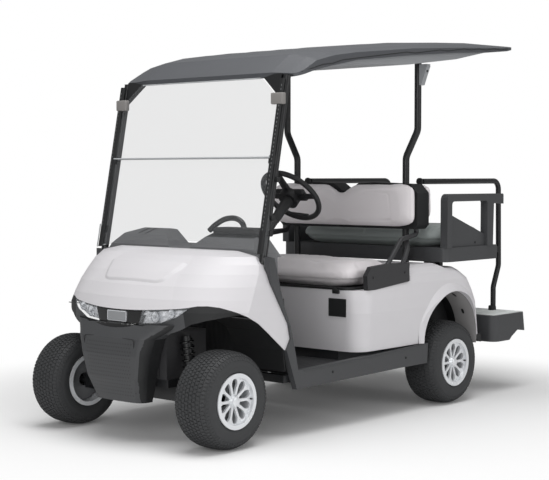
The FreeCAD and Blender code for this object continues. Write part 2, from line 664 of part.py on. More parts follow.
def sills():
    """Kick trim behind the cowl and the sill below the doorway, each side one moulding."""
    seat = "(wheelbase - body_lead)"
    outline = COWL_EDGE[-1:] + [("405", "sill_low"), (f"{seat} + 307", "sill_low + 15"),
                                (f"{seat} + 556", "sill_low + 16"),
                                (f"{seat} + 563", "sill_top + 33"), ("415", "sill_top"),
                                ("388", "sill_top + 113"), ("362", "sill_top + 205"),
                                ("312", "sill_top + 313"), ("250", "sill_top + 523"),
                                ("cowl_back", "cowl_top - 20")]
    outline += COWL_REAR[::-1]
    node("sills", *both(side(outline, "sill_inner", "sill_outer")))


def leaning(piece, x, height):
    """Put a piece that is drawn upright on the pillars' leaning line."""
    piece.Placement = Placement(Vector(), Rotation(Vector(1, 0, 0), -mm.pillar_tilt))
    return bind(piece, Placement__Base__x=x, Placement__Base__z=height, Placement__Base__y=
                f"pillar_foot_y + ({height} - pillar_foot_z) * tan(pillar_tilt)")


def pillar_space():
    """The room that the pillars' feet take in the cowl and the dash."""
    return both(leaning(rod("Z", "pillar_radius", ("0", "0", "0"), "200"), "pillar_x",
                        "pillar_foot_z"))


def pillars():
    foot = ("pillar_x", "pillar_foot_z")
    length = "(pillar_top - pillar_foot_z) / cos(pillar_tilt)"
    bar = leaning(rod("Z", "pillar_radius", ("0", "0", "0"), length), *foot)
    bore = leaning(rod("Z", "pillar_radius - pillar_wall", ("0", "0", "0"), length), *foot)
    node("roof_struts", *both(minus(bar, bore), rear_strut()))


def windshield():
    """Two clear panels ahead of the pillars, meeting at the fold line."""
    tall = "(fold_height - glass_low) / cos(pillar_tilt)"
    lower = [("-560", "0"), ("-500", "12"), ("-400", "32"), ("-150", "50"), ("150", "50"),
             ("400", "32"), ("500", "12"), ("560", "0"), ("560", "115"),
             ("fold_half_width", f"{tall} - 1"), ("-fold_half_width", f"{tall} - 1")]
    tall = "(glass_top - fold_height) / cos(pillar_tilt)"
    upper = [("-fold_half_width", "0"), ("fold_half_width", "0"),
             ("fold_half_width - 10", f"{tall} - 95"), ("fold_half_width - 122", tall),
             ("122 - fold_half_width", tall), ("10 - fold_half_width", f"{tall} - 95")]
    node("windshield", *(leaning(front(outline, "-glass_offset - glass_thick", "-glass_offset"),
                                 "0", height)
                         for outline, height in ((lower, "glass_low"), (upper, "fold_height"))))


def clips():
    """Clamps that hold the panes on the pillars."""
    blocks = []
    for height in ("glass_top - 102", "fold_height - 8", "glass_low + 92"):
        clip = front([("-clip_size / 2", "-clip_size / 2"), ("clip_size / 2", "-clip_size / 2"),
                      ("clip_size / 2", "clip_size / 2"), ("-clip_size / 2", "clip_size / 2")],
                     "-glass_offset", "-pillar_radius")
        blocks.append(leaning(clip, "pillar_x - 8", height))
    node("windshield_clips", *both(*blocks))


# ---------------------------------------------------------------- roof and rear struts
# share of the roof's length, height of the lower edge, height of the crown
ROOF_SECTIONS = [(0, -10, 15), (0.07, 28, 108), (0.14, 56, 140), (0.233, 90, 165),
                 (0.48, 143, 214), (0.71, 184, 245), (0.86, 203, 262), (0.955, 220, 266),
                 (1, 236, 262)]
# how far the liner's underside hangs from the roof's lower edge at each inner section
LINER_HANG = [4, 0, -18, -46, -34, 0, 4]


def roof_station(share):
    return mm.roof_front + share * (mm.wheelbase + mm.roof_lag - mm.roof_front)


def liner_sections(lift):
    """Sections of a flat-topped slab at a lift above the liner's underside."""
    return [(share, edge + hang + lift, edge + hang + lift)
            for (share, edge, _), hang in zip(ROOF_SECTIONS[1:-1], LINER_HANG)]


def lower_edge(sections, y):
    """The height of the lower edge of a row of roof sections at a station."""
    for (a, low, _), (b, high, _) in zip(sections, sections[1:]):
        before, after = roof_station(a), roof_station(b)
        if y <= after:
            return mm.roof_height + low + (high - low) * (y - before) / (after - before)
    return mm.roof_height + sections[-1][1]


def roof_solid(half, drop, skin, sections):
    """A crowned slab along the roof: half width, depth below the edge, depth below the crown."""
    wires = []
    for share, low, high in sections:
        y, shoulder = roof_station(share), min(38, (high - low) * 0.6)
        bottom, top = mm.roof_height + low - drop, mm.roof_height + high - skin
        run = [(-half, bottom), (-half, top - shoulder), (-half + 55, top - shoulder * 0.5),
               (-half + 160, top), (half - 160, top), (half - 55, top - shoulder * 0.5),
               (half, top - shoulder), (half, bottom)]
        corners = [Vector(x, y, z) for x, z in run]
        wires.append(Part.Wire([line(a, b) for a, b in zip(corners, corners[1:] + corners[:1])]))
    return loft(wires)


def rounded(body, radius):
    """A body with its upright edges rounded."""
    doc.recompute()
    names = [f"Edge{index}" for index, edge in enumerate(body.Shape.Edges, 1)
             if abs(edge.tangentAt(edge.FirstParameter).z) > 0.999]
    base = body.Tip
    round_off = body.newObject("PartDesign::Fillet", "rounding")
    round_off.Base = (base, names)
    bind(round_off, Radius=radius)
    return body


def oblong(half, front_y, back_y, low, high, radius):
    """An upright slab with rounded corners."""
    return rounded(plan([(f"-({half})", front_y), (half, front_y), (half, back_y),
                         (f"-({half})", back_y)], low, high), radius)


def roof():
    back = "wheelbase + roof_lag"
    outer = coded(roof_solid(mm.roof_half_width, 0, 0, ROOF_SECTIONS))
    inner = coded(roof_solid(mm.roof_half_width - 26, 60, mm.roof_skin, ROOF_SECTIONS[1:-1]))
    edge = oblong("roof_half_width", "roof_front", back, "1500", "2000", "roof_corner")
    room = oblong("roof_half_width - 26", "roof_front + 110", f"{back} - 60", "1500", "2000",
                  "roof_corner - 26")
    node("roof", minus(common(outer, edge), common(inner, room)))
    brim = [(share, low + mm.liner_lift, low + mm.liner_lift) for share, low, _ in ROOF_SECTIONS[1:-1]]
    top, floor, low = (coded(roof_solid(mm.roof_half_width, 300, 0, sections))
                       for sections in (brim, liner_sections(mm.liner_thick), liner_sections(0)))
    slab = oblong("roof_half_width - 27", "roof_front + 140", f"{back} - 110", "1500", "2000",
                  "roof_corner - 27")
    snug = coded(roof_solid(mm.roof_half_width - 27, 60, mm.roof_skin + mm.clearance,
                           ROOF_SECTIONS[1:-1]))
    pan = oblong("roof_half_width - 33", "roof_front + 146", f"{back} - 116", "1500", "2000",
                 "roof_corner - 33")
    node("roof_liner", minus(common(minus(top, low), slab, snug), minus(pan, floor)))


def strut_head():
    """The height at which the rear struts meet the roof's liner."""
    return lower_edge(liner_sections(0), mm.wheelbase - mm.strut_lead) - 2


def rear_strut():
    """A bent tube from the rear deck to the roof."""
    y = mm.wheelbase - mm.strut_lead
    return coded(tube([(mm.strut_x, y, mm.deck_height - mm.ridge_drop), (mm.strut_x, y, mm.strut_bend_low),
                       (mm.strut_top_x, y, mm.strut_bend_high),
                       (mm.strut_top_x, y, strut_head())], mm.strut_radius, 70))


def flat_piece(run, across, thickness):
    """A polygon of points extruded along a direction."""
    wire = Part.Wire([line(a, b) for a, b in zip(run, run[1:] + run[:1])])
    return coded(Part.Face(wire).extrude(across * thickness))


def strut_bracket():
    """The tapered bracket outside a rear strut's top."""
    y, top = mm.wheelbase - mm.strut_lead, strut_head()
    inner = mm.strut_top_x + mm.strut_radius
    run = [Vector(x, y - 16, z) for x, z in
           ((inner, top - 115), (inner + 12, top - 115), (inner + 48, top - 20),
            (inner + 48, top - 8), (inner, top - 8))]
    return flat_piece(run, Vector(0, 1, 0), 32)


def gussets():
    """Triangular plates between the pillar tops and the roof."""
    head = mm.pillar_foot_y + (mm.pillar_top - mm.pillar_foot_z) * math.tan(
        math.radians(mm.pillar_tilt))
    inner, outer = mm.pillar_x - 34, mm.pillar_x + mm.pillar_radius
    low = mm.pillar_top + 4
    run = [Vector(inner, y, z) for y, z in
           ((head - 14, low), (head + 18, low),
            (head + 120, lower_edge(ROOF_SECTIONS, head + 120) - mm.clearance),
            (mm.roof_front + 2, lower_edge(ROOF_SECTIONS, mm.roof_front + 2) - mm.clearance))]
    plate = flat_piece(run, Vector(1, 0, 0), outer - inner)
    shade = coded(roof_solid(mm.roof_half_width, mm.clearance, 0, ROOF_SECTIONS))
    free, tall = "pillar_x - pillar_radius - clearance", "(glass_top - fold_height) / cos(pillar_tilt)"
    corner = leaning(front([(free, f"{tall} - 92"), (free, f"{tall} + 17"),
                            ("pillar_x - 60", f"{tall} + 17"), ("pillar_x - 126", f"{tall} + 2")],
                           "-pillar_radius", "pillar_radius - 12"), "0", "fold_height")
    node("roof_brackets", *both(minus(plus(plate, corner), shade), strut_bracket()))


# ---------------------------------------------------------------- steering wheel and pedals
def tilted(piece):
    """Put a piece that is drawn about the Z axis on the steering column's line."""
    piece.Placement = Placement(piece.Placement.Base, Rotation(Vector(1, 0, 0), -mm.wheel_tilt))
    return piece


def on_column(radius, low, high):
    """A round bar on the column's line, from low to high along it."""
    bar = tilted(rod("Z", radius, ("0", "0", "0"), f"({high}) - ({low})"))
    return bind(bar, Placement__Base__x="wheel_x",
                Placement__Base__y=f"wheel_y + ({low}) * sin(wheel_tilt)",
                Placement__Base__z=f"wheel_z + ({low}) * cos(wheel_tilt)")


def column_space():
    return on_column("column_radius", "-column_length", "-60")


def steering_wheel():
    ring = doc.addObject("Part::Torus", "ring")
    bind(ring, Radius1="wheel_ring - wheel_grip", Radius2="wheel_grip")
    spokes = [block(("-wheel_ring + wheel_grip", "wheel_ring - wheel_grip"), ("-12", "12"),
                    ("-9", "3")),
              block(("-14", "14"), ("wheel_grip - wheel_ring", "0"), ("-9", "3"))]
    hub = rod("Z", "52", ("0", "0", "-34"), "40")
    wheel = tilted(plus(ring, *spokes, hub))
    bind(wheel, Placement__Base__x="wheel_x", Placement__Base__y="wheel_y",
         Placement__Base__z="wheel_z")
    shaft = on_column("shaft_radius", "20 - column_length", "-30")
    node("steering_wheel", plus(wheel, shaft))
    bore = on_column("shaft_radius + clearance", "-column_length", "-50")
    node("steering_column", minus(column_space(), bore))


def pedals():
    deck = "rail_bottom + rail_height + floor_thick"
    for_pedals = []
    for x, tall in (("70", "110"), ("190", "120")):
        face = side([("395 + floor_thick", f"{deck} + 30"), ("425", f"{deck} + 26"),
                     (f"400", f"{deck} + 26 + {tall}"), ("388", f"{deck} + 26 + {tall}")],
                    x, f"{x} + pedal_width")
        arm = side([("412", deck), ("430", deck), ("424", f"{deck} + 40"),
                    ("408", f"{deck} + 40")], f"{x} + 25", f"{x} + pedal_width - 25")
        for_pedals.append(plus(face, arm))
    node("pedals", *for_pedals)


# ---------------------------------------------------------------- rear body
# height, half-width share, back inset, corner radius share
BODY_SECTIONS = [(0, 0.975, -30, 1), (0.25, 0.99, -4, 1), (0.45, 1, 20, 1), (0.6, 0.995, 45, 1.1),
                 (0.75, 0.985, 75, 1.25), (0.85, 0.965, 132, 1.35), (0.93, 0.93, 198, 1.4),
                 (1, 0.86, 268, 1.3)]


def box_wire(height, half, front_y, back_y, radius):
    """A rounded rectangle at a height."""
    edges, last = [], None
    corners = [(half, front_y, 1, -1), (half, back_y, 1, 1), (-half, back_y, -1, 1),
               (-half, front_y, -1, -1)]
    joints = []
    for x, y, out_x, out_y in corners:
        centre = Vector(x - out_x * radius, y - out_y * radius, height)
        reach = radius / math.sqrt(2)
        start = centre + (Vector(0, out_y * radius, 0) if out_x * out_y < 0
                          else Vector(out_x * radius, 0, 0))
        end = centre + (Vector(out_x * radius, 0, 0) if out_x * out_y < 0
                        else Vector(0, out_y * radius, 0))
        joints.append((start, centre + Vector(out_x * reach, out_y * reach, 0), end))
    for (start, middle, end), (after, _, _) in zip(joints, joints[1:] + joints[:1]):
        edges += [arc(start, middle, end), line(end, after)]
    return Part.Wire(edges)


def body_solid(inset):
    tall = mm.deck_height - mm.body_low
    wires = []
    for share, half, back_in, corner in BODY_SECTIONS:
        drop = inset if share else 20 * (inset > 0)
        wires.append(box_wire(mm.body_low + share * tall - drop, mm.body_half_width * half - inset,
                              mm.wheelbase - mm.body_lead + inset,
                              mm.wheelbase + mm.body_lag - back_in - inset,
                              mm.body_corner * corner - inset))
    return loft(wires)


def rear_body():
    """Seat box and rear fenders in one body-coloured shell, open at the battery bay."""
    back = "wheelbase"
    rim = "(cushion_low - pan_thick - clearance)"
    ridge = [(f"{back} + body_lag + 40", "deck_height - deck_drop - 2"), (f"{back} - 30",
             "deck_height - deck_drop"),
             (f"{back} - 110", "deck_height - ridge_drop"), (f"{back} - ridge_lead",
             "deck_height - ridge_drop")]
    outer = side([(f"{back} - body_lead - 5", "body_low - 1"),
                  (f"{back} + body_lag + 40", "body_low - 1")] + ridge +
                 [(f"{back} - ridge_lead - 15", f"{rim} + 28"), (f"{back} - 670", rim),
                  (f"{back} - body_lead - 5", rim)], f"-{FLARE}", FLARE)
    inner = side([(f"{back} - body_lead - 5", "body_low - 30"),
                  (f"{back} + body_lag + 40", "body_low - 30")] +
                 [(y, f"{z} - panel") for y, z in ridge[:-1]] +
                 [(f"{back} - ridge_lead + panel", "deck_height - ridge_drop - panel"),
                  (f"{back} - ridge_lead - 12", f"{rim} + 20"),
                  (f"{back} - ridge_lead - 18", "deck_height + 60"),
                  (f"{back} - body_lead - 5", "deck_height + 60")], f"-{FLARE}", FLARE)
    shell = minus(common(coded(body_solid(0)), outer), common(coded(body_solid(mm.panel)), inner))
    reach = (f"{back} - body_lead - 5", f"{back} - ridge_lead - 15")
    bay = block(("-battery_half_width - 25", "battery_half_width + 25"),
                (f"{back} - battery_lead_front - 6", f"{back} - ridge_lead - 45"),
                (f"{rim} - panel - 1", f"{rim} + 1"))
    seat_rim = minus(common(coded(body_solid(1)), block((f"-{FLARE}", FLARE), reach,
                                                        (f"{rim} - panel", rim))), bay)
    across = f"2 * {FLARE} + 20"
    arch = rod("X", "arch_radius", (f"-{FLARE} - 10", "wheelbase + arch_lag", "arch_height"),
               across)
    below = block((f"-{FLARE} - 10", f"{FLARE} + 10"),
                  ("wheelbase + arch_lag - arch_radius", "wheelbase + arch_lag + arch_radius"),
                  ("body_low - 60", "arch_height"))
    start = mm.body_half_width - 2 * mm.panel
    cone = coded(Part.makeCone(mm.arch_radius + mm.flare_width, mm.arch_radius + 4,
                               mm.flare_out + 2 * mm.panel,
                               Vector(start, mm.wheelbase + mm.arch_lag, mm.arch_height), Vector(1, 0, 0)))
    above = plan([("body_half_width - 20", "wheelbase - 320"), ("body_half_width + 2", "wheelbase - 270"),
                  (FLARE, "wheelbase - 150"), (FLARE, "wheelbase + 110"),
                  ("body_half_width + 4", "wheelbase + 200"),
                  ("body_half_width - 30", "wheelbase + body_lag - 30"),
                  ("body_half_width - 60", "wheelbase")], "body_low", "deck_height - 60")
    flares = both(common(cone, above))
    node("rear_body", minus(plus(shell, seat_rim, *hinge_pins(), *flares), arch, below))
    ring = rod("X", "arch_radius + plate + clearance", ("liner_inner_x", "wheelbase + arch_lag",
               "arch_height"), "body_half_width - panel * 2 - clearance - liner_inner_x")
    hole = rod("X", "arch_radius + clearance", ("liner_inner_x + plate", "wheelbase + arch_lag",
               "arch_height"), FLARE)
    cover = block(("0", FLARE), ("wheelbase - body_lead", "wheelbase + body_lag + 60"),
                  ("0", "arch_height"))
    flap = block(("body_half_width - 130", "body_half_width - 36"),
                 ("wheelbase + arch_lag + arch_radius + clearance",
                  "wheelbase + arch_lag + arch_radius + plate"), ("arch_height - 46", "arch_height + 6"))
    edge = "wheelbase + arch_lag + arch_radius"
    tip = side([(f"{edge} + clearance", "body_low - clearance"), (f"{edge} + 52", "body_low - clearance"),
                (f"{edge} + 60", "body_low - 44"), (f"{edge} + 40", "body_low - 41"),
                (f"{edge} + clearance", "body_low - 14")],
               "body_half_width - 130", "body_half_width - 18")
    rear = plus(common(minus(ring, hole, cover), coded(body_solid(mm.panel + 2))), flap, tip)
    node("arch_liners", *front_liners(), *both(rear))
    node("socket_cover", block(("socket_x - socket_size / 2", "socket_x + socket_size / 2"),
                               ("wheelbase - body_lead - plate", "wheelbase - body_lead"),
                               ("socket_z - socket_size * 0.4", "socket_z + socket_size * 0.4")))
    node("tail_lamps", *both(minus(block(("430", "490"), ("wheelbase + body_lag - 40",
                                                          "wheelbase + body_lag + 9"),
                                         ("445", "525")), coded(body_solid(0)))))


# ---------------------------------------------------------------- seats
def front_seat():
    front_y, back_y = "wheelbase - cushion_lead", "wheelbase - cushion_lead + cushion_length"
    node("front_cushion", oblong("cushion_half_width", front_y, back_y, "cushion_low",
                                 "cushion_top", "60"))
    pan = oblong("cushion_half_width - 12", f"{front_y} + 12", back_y,
                 "cushion_low - pan_thick", "cushion_low", "50")
    near, far = "hinge_x - hinge_half", "hinge_x + hinge_half"
    strap = block((near, far), (f"{HINGE_Y} - hinge_radius", f"{HINGE_Y} - 1"),
                  ("cushion_low - pan_thick", HINGE_Z))
    foot = block((near, far), (f"{back_y} - 5", f"{HINGE_Y} - 1"),
                 ("cushion_low - pan_thick", "cushion_low"))
    barrel = rod("X", "hinge_radius", (near, HINGE_Y, HINGE_Z), "hinge_half * 2")
    bore = both(rod("X", "hinge_pin + hinge_fit", (f"{near} - 1", HINGE_Y, HINGE_Z),
                    "hinge_half * 2 + 2"))
    node("seat_pan", minus(plus(pan, *both(plus(strap, foot, barrel))), *bore))


def hinge_pins():
    """Pins of the seat hinge with an ear at each end, standing on the body's ridge."""
    near, far = "hinge_x - hinge_half", "hinge_x + hinge_half"
    pin = rod("X", "hinge_pin", (f"{near} - 4", HINGE_Y, HINGE_Z), "hinge_half * 2 + 8")
    ears = [block(x, (f"{HINGE_Y} - hinge_radius", "wheelbase - ridge_lead + 12"),
                  (f"{HINGE_Z} - hinge_pin - 1", f"{HINGE_Z} + hinge_radius"))
            for x in ((f"{near} - 5", f"{near} - 1"), (f"{far} + 1", f"{far} + 5"))]
    return both(plus(pin, *ears))


def lobed_back(half, front_y, back_y, low, high):
    """A backrest with two lobes and a notch between them."""
    outline = [(f"-({half})", f"{low} + 22"), (f"22 - ({half})", low), (f"({half}) - 22", low),
               (half, f"{low} + 22"), (half, f"{high} - 55"), (f"({half}) - 45", f"{high} - 8"),
               ("190", high), ("85", f"{high} - 4"), ("22", f"{high} - back_notch"),
               ("-22", f"{high} - back_notch"), ("-85", f"{high} - 4"), ("-190", high),
               (f"45 - ({half})", f"{high} - 8"), (f"-({half})", f"{high} - 55")]
    return front(outline, front_y, back_y)


def backrests():
    middle = "(wheelbase - strut_lead)"
    shell_front, shell_back = f"{middle} - shell_lead", f"{middle} + shell_lag"
    shell = lobed_back("back_half_width - 20", shell_front, shell_back,
                       "back_low + 4", "back_top - 6")
    holes = both(rod("Z", "strut_radius", ("strut_x", middle, "800"), "500"))
    node("backrest_shell", minus(shell, *holes))
    node("backrests",
         lobed_back("back_half_width", f"{shell_front} - back_thick", shell_front, "back_low",
                    "back_top"),
         lobed_back("back_half_width - 16", shell_back, f"{shell_back} + rear_back_thick",
                    "back_low + 24", "back_top - 4"))


def hip_restraints():
    """End panels of the front seat with the bars that carry the backrest."""
    rim = "(cushion_low - pan_thick)"
    panel = side([("wheelbase - 728", rim), ("wheelbase - 670", rim),
                  ("wheelbase - ridge_lead - 36", f"{rim} + 26"),
                  ("wheelbase - ridge_lead - 32", "cushion_low + 108"),
                  ("wheelbase - 540", "cushion_low + 112"),
                  ("wheelbase - 700", "cushion_low + 102"),
                  ("wheelbase - 735", "cushion_low + 60")],
                 "rest_x - rest_thick / 2", "rest_x + rest_thick / 2")
    low, high = mm.cushion_low + 100, mm.back_low - 24
    y, middle = mm.wheelbase, mm.wheelbase - mm.strut_lead
    inner = mm.back_half_width - 50
    runs = ([(mm.rest_x, y - 560, low), (mm.rest_x - 14, y - 420, high - 14)],
            [(mm.rest_x, y - 430, low), (mm.rest_x - 4, y - 380, low + 76),
             (inner + 20, y - 265, high - 14)])
    bars = [coded(tube(run + [(inner, middle, high),
                              (inner, middle, mm.back_low + 4 - mm.clearance)],
                       mm.rest_radius, 25)) for run in runs]
    node("hip_restraints", *both(plus(panel, *bars)))


def eased(y, z, side_of, radius):
    """Points that round a frame's upper corner; side_of is 1 for a front corner."""
    turns = [math.radians(step * 22.5) for step in range(5)]
    if side_of < 0:
        turns.reverse()
    return [(f"{y} + {side_of * radius * (1 - math.cos(turn)):.2f}",
             f"{z} - {radius * (1 - math.sin(turn)):.2f}") for turn in turns]


def rear_seat():
    front_y, back_y = "wheelbase - tray_lead", "wheelbase + tray_lag"
    node("rear_seat_base", oblong("tray_half_width", front_y, back_y, TRAY_LOW, TRAY_TOP, "35"))
    node("rear_cushion", oblong("rear_cushion_half_width", f"{front_y} + 12", f"{back_y} + 12",
                                TRAY_TOP, f"{TRAY_TOP} + rear_cushion_height", "55"))
    low = TRAY_TOP
    lead, lag, leg = "wheelbase - arm_lead", "wheelbase + arm_lag", "wheelbase + arm_leg"
    outer = [(lead, low), *eased(lead, ARM_TOP, 1, 34), *eased(lag, f"{ARM_TOP} - 2", -1, 10),
             (lag, f"{ARM_TOP} - 58"), (f"{leg} + 8", f"{ARM_TOP} - 52"), (leg, low)]
    near, far, top = f"{lead} + arm_bar", f"{leg} - arm_bar * 1.3", f"{ARM_TOP} - arm_bar * 0.9"
    inner = [(near, f"{low} - 1"), *eased(near, top, 1, 18), *eased(far, top, -1, 12),
             (far, f"{low} - 1")]
    web = [(near, low), (near, f"{ARM_TOP} - 105"), (far, f"{low} + 62"), (far, low)]
    half = "arm_bar / 2"
    frame_bar = minus(side(outer, f"arm_half_width - {half}", f"arm_half_width + {half}"),
                      side(inner, f"arm_half_width - {half} - 1", f"arm_half_width + {half} + 1"))
    panel = side(web, "arm_half_width - 4", "arm_half_width + 4")
    node("armrests", *both(plus(frame_bar, panel)))


def footplate_solid(inset):
    """The footplate's outer form, flared at the back, or what lies inside its wall."""
    front_y = mm.wheelbase + mm.footplate_lead + inset
    back_y = mm.wheelbase + mm.rear_overhang - inset
    half, radius = mm.footplate_half_width - inset, 45 - inset
    return loft([box_wire(mm.footplate_skirt - inset, half, front_y, back_y + mm.footplate_flare, radius),
                 box_wire(mm.footplate_top - inset, half, front_y, back_y, radius)])


def rear_steps():
    """Grab rails running down into posts, the seat's brackets and the footplate."""
    y, x = mm.wheelbase, mm.grab_x
    start = y - mm.strut_lead + mm.shell_lag + mm.rear_back_thick + mm.clearance
    rail = tube([(x, start, mm.grab_z), (x, y + mm.grab_lag, mm.grab_z),
                 (x, y + mm.post_foot_lag, mm.kink_high),
                 (x, y + mm.post_foot_lag - mm.kink_depth, mm.kink_low),
                 (x, y + mm.post_foot_lag - mm.kink_depth, mm.footplate_top)], mm.grab_radius, 50)
    node("grab_rails", *both(coded(rail)))
    deck = "deck_height - deck_drop"
    feet = [block(("380", "430"), (f"wheelbase + {start}", f"wheelbase + {start} + 30"),
                  (deck, TRAY_LOW)) for start in (10, 85)]
    arms = block(("grab_x - 14", "grab_x + 14"),
                 ("wheelbase + tray_lag", "wheelbase + post_foot_lag - grab_radius - 8"),
                 (f"{TRAY_LOW} + 15", f"{TRAY_LOW} + 50"))
    node("rear_frame", *stays(), *both(*feet, arms))
    front_y, back_y = "wheelbase + footplate_lead", "wheelbase + rear_overhang"
    wall = "footplate_wall"
    outer, inner = coded(footplate_solid(0)), coded(footplate_solid(mm.footplate_wall))
    cut_out = side([(f"{front_y} + 150", "footplate_skirt - 1"),
                    (f"{front_y} + 175", "footplate_skirt + 18"),
                    (f"{front_y} + 240", "footplate_skirt + 52"), (f"{back_y} + 30", "footplate_skirt + 34"),
                    (f"{back_y} + 30", "footplate_skirt - 1")],
                   "-footplate_half_width - 1", "footplate_half_width + 1")
    reach = "rail_x + rail_width / 2 + plate"
    notch = block((f"-({reach})", reach), (f"{front_y} - 1", f"{front_y} + {wall} + 1"),
                  ("footplate_skirt - 1", "rail_bottom + rail_height + plate"))
    node("footplate", minus(outer, inner, cut_out, notch))


# ---------------------------------------------------------------- build, check and write
for make in (wheels, front_axle, frame, floor, rear_axle, battery, cowl, bumper, front_cover,
             dash, sills, pillars, windshield, clips, roof, gussets,
             steering_wheel, pedals, rear_body, front_seat, backrests, hip_restraints, rear_seat,
             rear_steps):
    make()
doc.recompute()

for item in doc.Objects:
    if {"Invalid", "Error"} & set(item.State):
        raise RuntimeError(f"{item.Label} ({item.Name}) failed: {item.State}")
os.makedirs("parts", exist_ok=True)
for label, item in NODES.items():
    shape = item.Shape
    if shape.isNull() or not shape.isValid() or not shape.Solids:
        raise RuntimeError(f"{label} has no valid shape")
    shape.exportStep(f"parts/{label}.step")
print(len(NODES), "nodes written")
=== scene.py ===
"""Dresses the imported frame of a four-seat golf cart with finishes, soft goods and fine parts.

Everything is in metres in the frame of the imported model: +X is the vehicle's left, -Y is
forward and +Z is up.
"""
import logging
import math
import random
from collections.abc import Callable, Sequence
from dataclasses import dataclass
from enum import Enum

import bmesh
import bpy
from mathutils import Matrix, Vector, noise


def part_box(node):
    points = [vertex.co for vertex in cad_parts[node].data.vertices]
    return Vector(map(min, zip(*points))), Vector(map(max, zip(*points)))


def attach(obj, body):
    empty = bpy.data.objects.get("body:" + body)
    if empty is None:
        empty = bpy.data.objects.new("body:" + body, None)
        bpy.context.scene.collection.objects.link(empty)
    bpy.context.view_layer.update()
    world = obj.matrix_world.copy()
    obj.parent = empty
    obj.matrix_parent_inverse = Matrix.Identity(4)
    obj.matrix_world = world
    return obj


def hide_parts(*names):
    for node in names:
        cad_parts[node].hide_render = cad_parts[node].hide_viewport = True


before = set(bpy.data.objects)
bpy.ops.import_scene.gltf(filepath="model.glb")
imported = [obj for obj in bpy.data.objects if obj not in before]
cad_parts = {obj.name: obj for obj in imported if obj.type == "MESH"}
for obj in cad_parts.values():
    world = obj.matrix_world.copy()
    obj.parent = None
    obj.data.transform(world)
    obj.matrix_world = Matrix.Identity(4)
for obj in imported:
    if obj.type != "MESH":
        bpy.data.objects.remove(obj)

log = logging.getLogger("golf_cart")
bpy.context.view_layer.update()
FRONT_AXLE_Y, REAR_AXLE_Y = -1.085, 0.585
# Distance of the wheels' middles from the vehicle's middle, and their height.
FRONT_WHEEL_X, REAR_WHEEL_X, AXLE_Z = 0.4825, 0.4955, 0.218
Point = tuple[float, float, float]
Geometry = tuple[list, list]  # points and faces
Section = list[tuple[float, float]]  # points of a section, or of a line drawn on a face

# Directions of rays, and where they start: clear of the vehicle, or inside the cab.
FORWARD, BACKWARD = (0.0, -1.0, 0.0), (0.0, 1.0, 0.0)
INWARD, DOWN = (-1.0, 0.0, 0.0), (0.0, 0.0, -1.0)
AHEAD_Y, FAR_AHEAD_Y, CAB_Y, BEHIND_Y = -1.6, -1.7, 0.2, 2.0
BESIDE_X, OVER_DASH_Z, OVER_ROOF_Z = 0.9, 1.2, 2.3
# Neighbouring faces that turn less than this many degrees shade as one surface.
ROLLED, ROUNDED, FACETED = 60.0, 50.0, 4.0
FAR = 9.0  # metres: no sewn line is near
GRAIN_SHARE = 1.7  # the fine grain is this much closer than the cells under it
RIB_SPREAD = 6.283  # sets ribs at about twice their pitch, so that they show


# ---------------------------------------------------------------- colours and nodes
def linear(hex_colour: str, alpha: float = 1.0) -> tuple[float, float, float, float]:
    """Turns an sRGB hex colour into the linear colour that a shader takes.

    Args:
        hex_colour: six hex digits, such as "e9e8ea".
        alpha: the fourth value.

    Returns:
        Red, green, blue and alpha, linear.
    """
    values = [int(hex_colour[index:index + 2], 16) / 255 for index in (0, 2, 4)]
    return (*(v / 12.92 if v <= 0.04045 else ((v + 0.055) / 1.055) ** 2.4 for v in values), alpha)


def add_node(tree: bpy.types.NodeTree, kind: str,
             links: dict[str | int, bpy.types.NodeSocket] | None = None,
             **settings: object) -> bpy.types.Node:
    """Adds one node with its settings and its incoming links.

    Args:
        tree: the node tree.
        kind: Blender's name of the node's type.
        links: input socket name or index to the socket that feeds it.
        settings: socket values, with _ for a space, or properties of the node.

    Returns:
        The new node.
    """
    node = tree.nodes.new(kind)
    for name, value in settings.items():
        socket = name.replace("_", " ")
        if socket in node.inputs:
            node.inputs[socket].default_value = value
        else:
            setattr(node, name, value)
    for name, source in (links or {}).items():
        tree.links.new(source, node.inputs[name])
    return node


class Relief(Enum):
    """How a surface was made, which gives its small relief."""
    POLISHED = "moulded on a polished tool"
    ETCHED = "moulded on an etched tool"
    POWDER = "powder coated"
    HIDE = "embossed as hide"
    RIBBED = "ribbed along the vehicle"
    CAST = "cast"


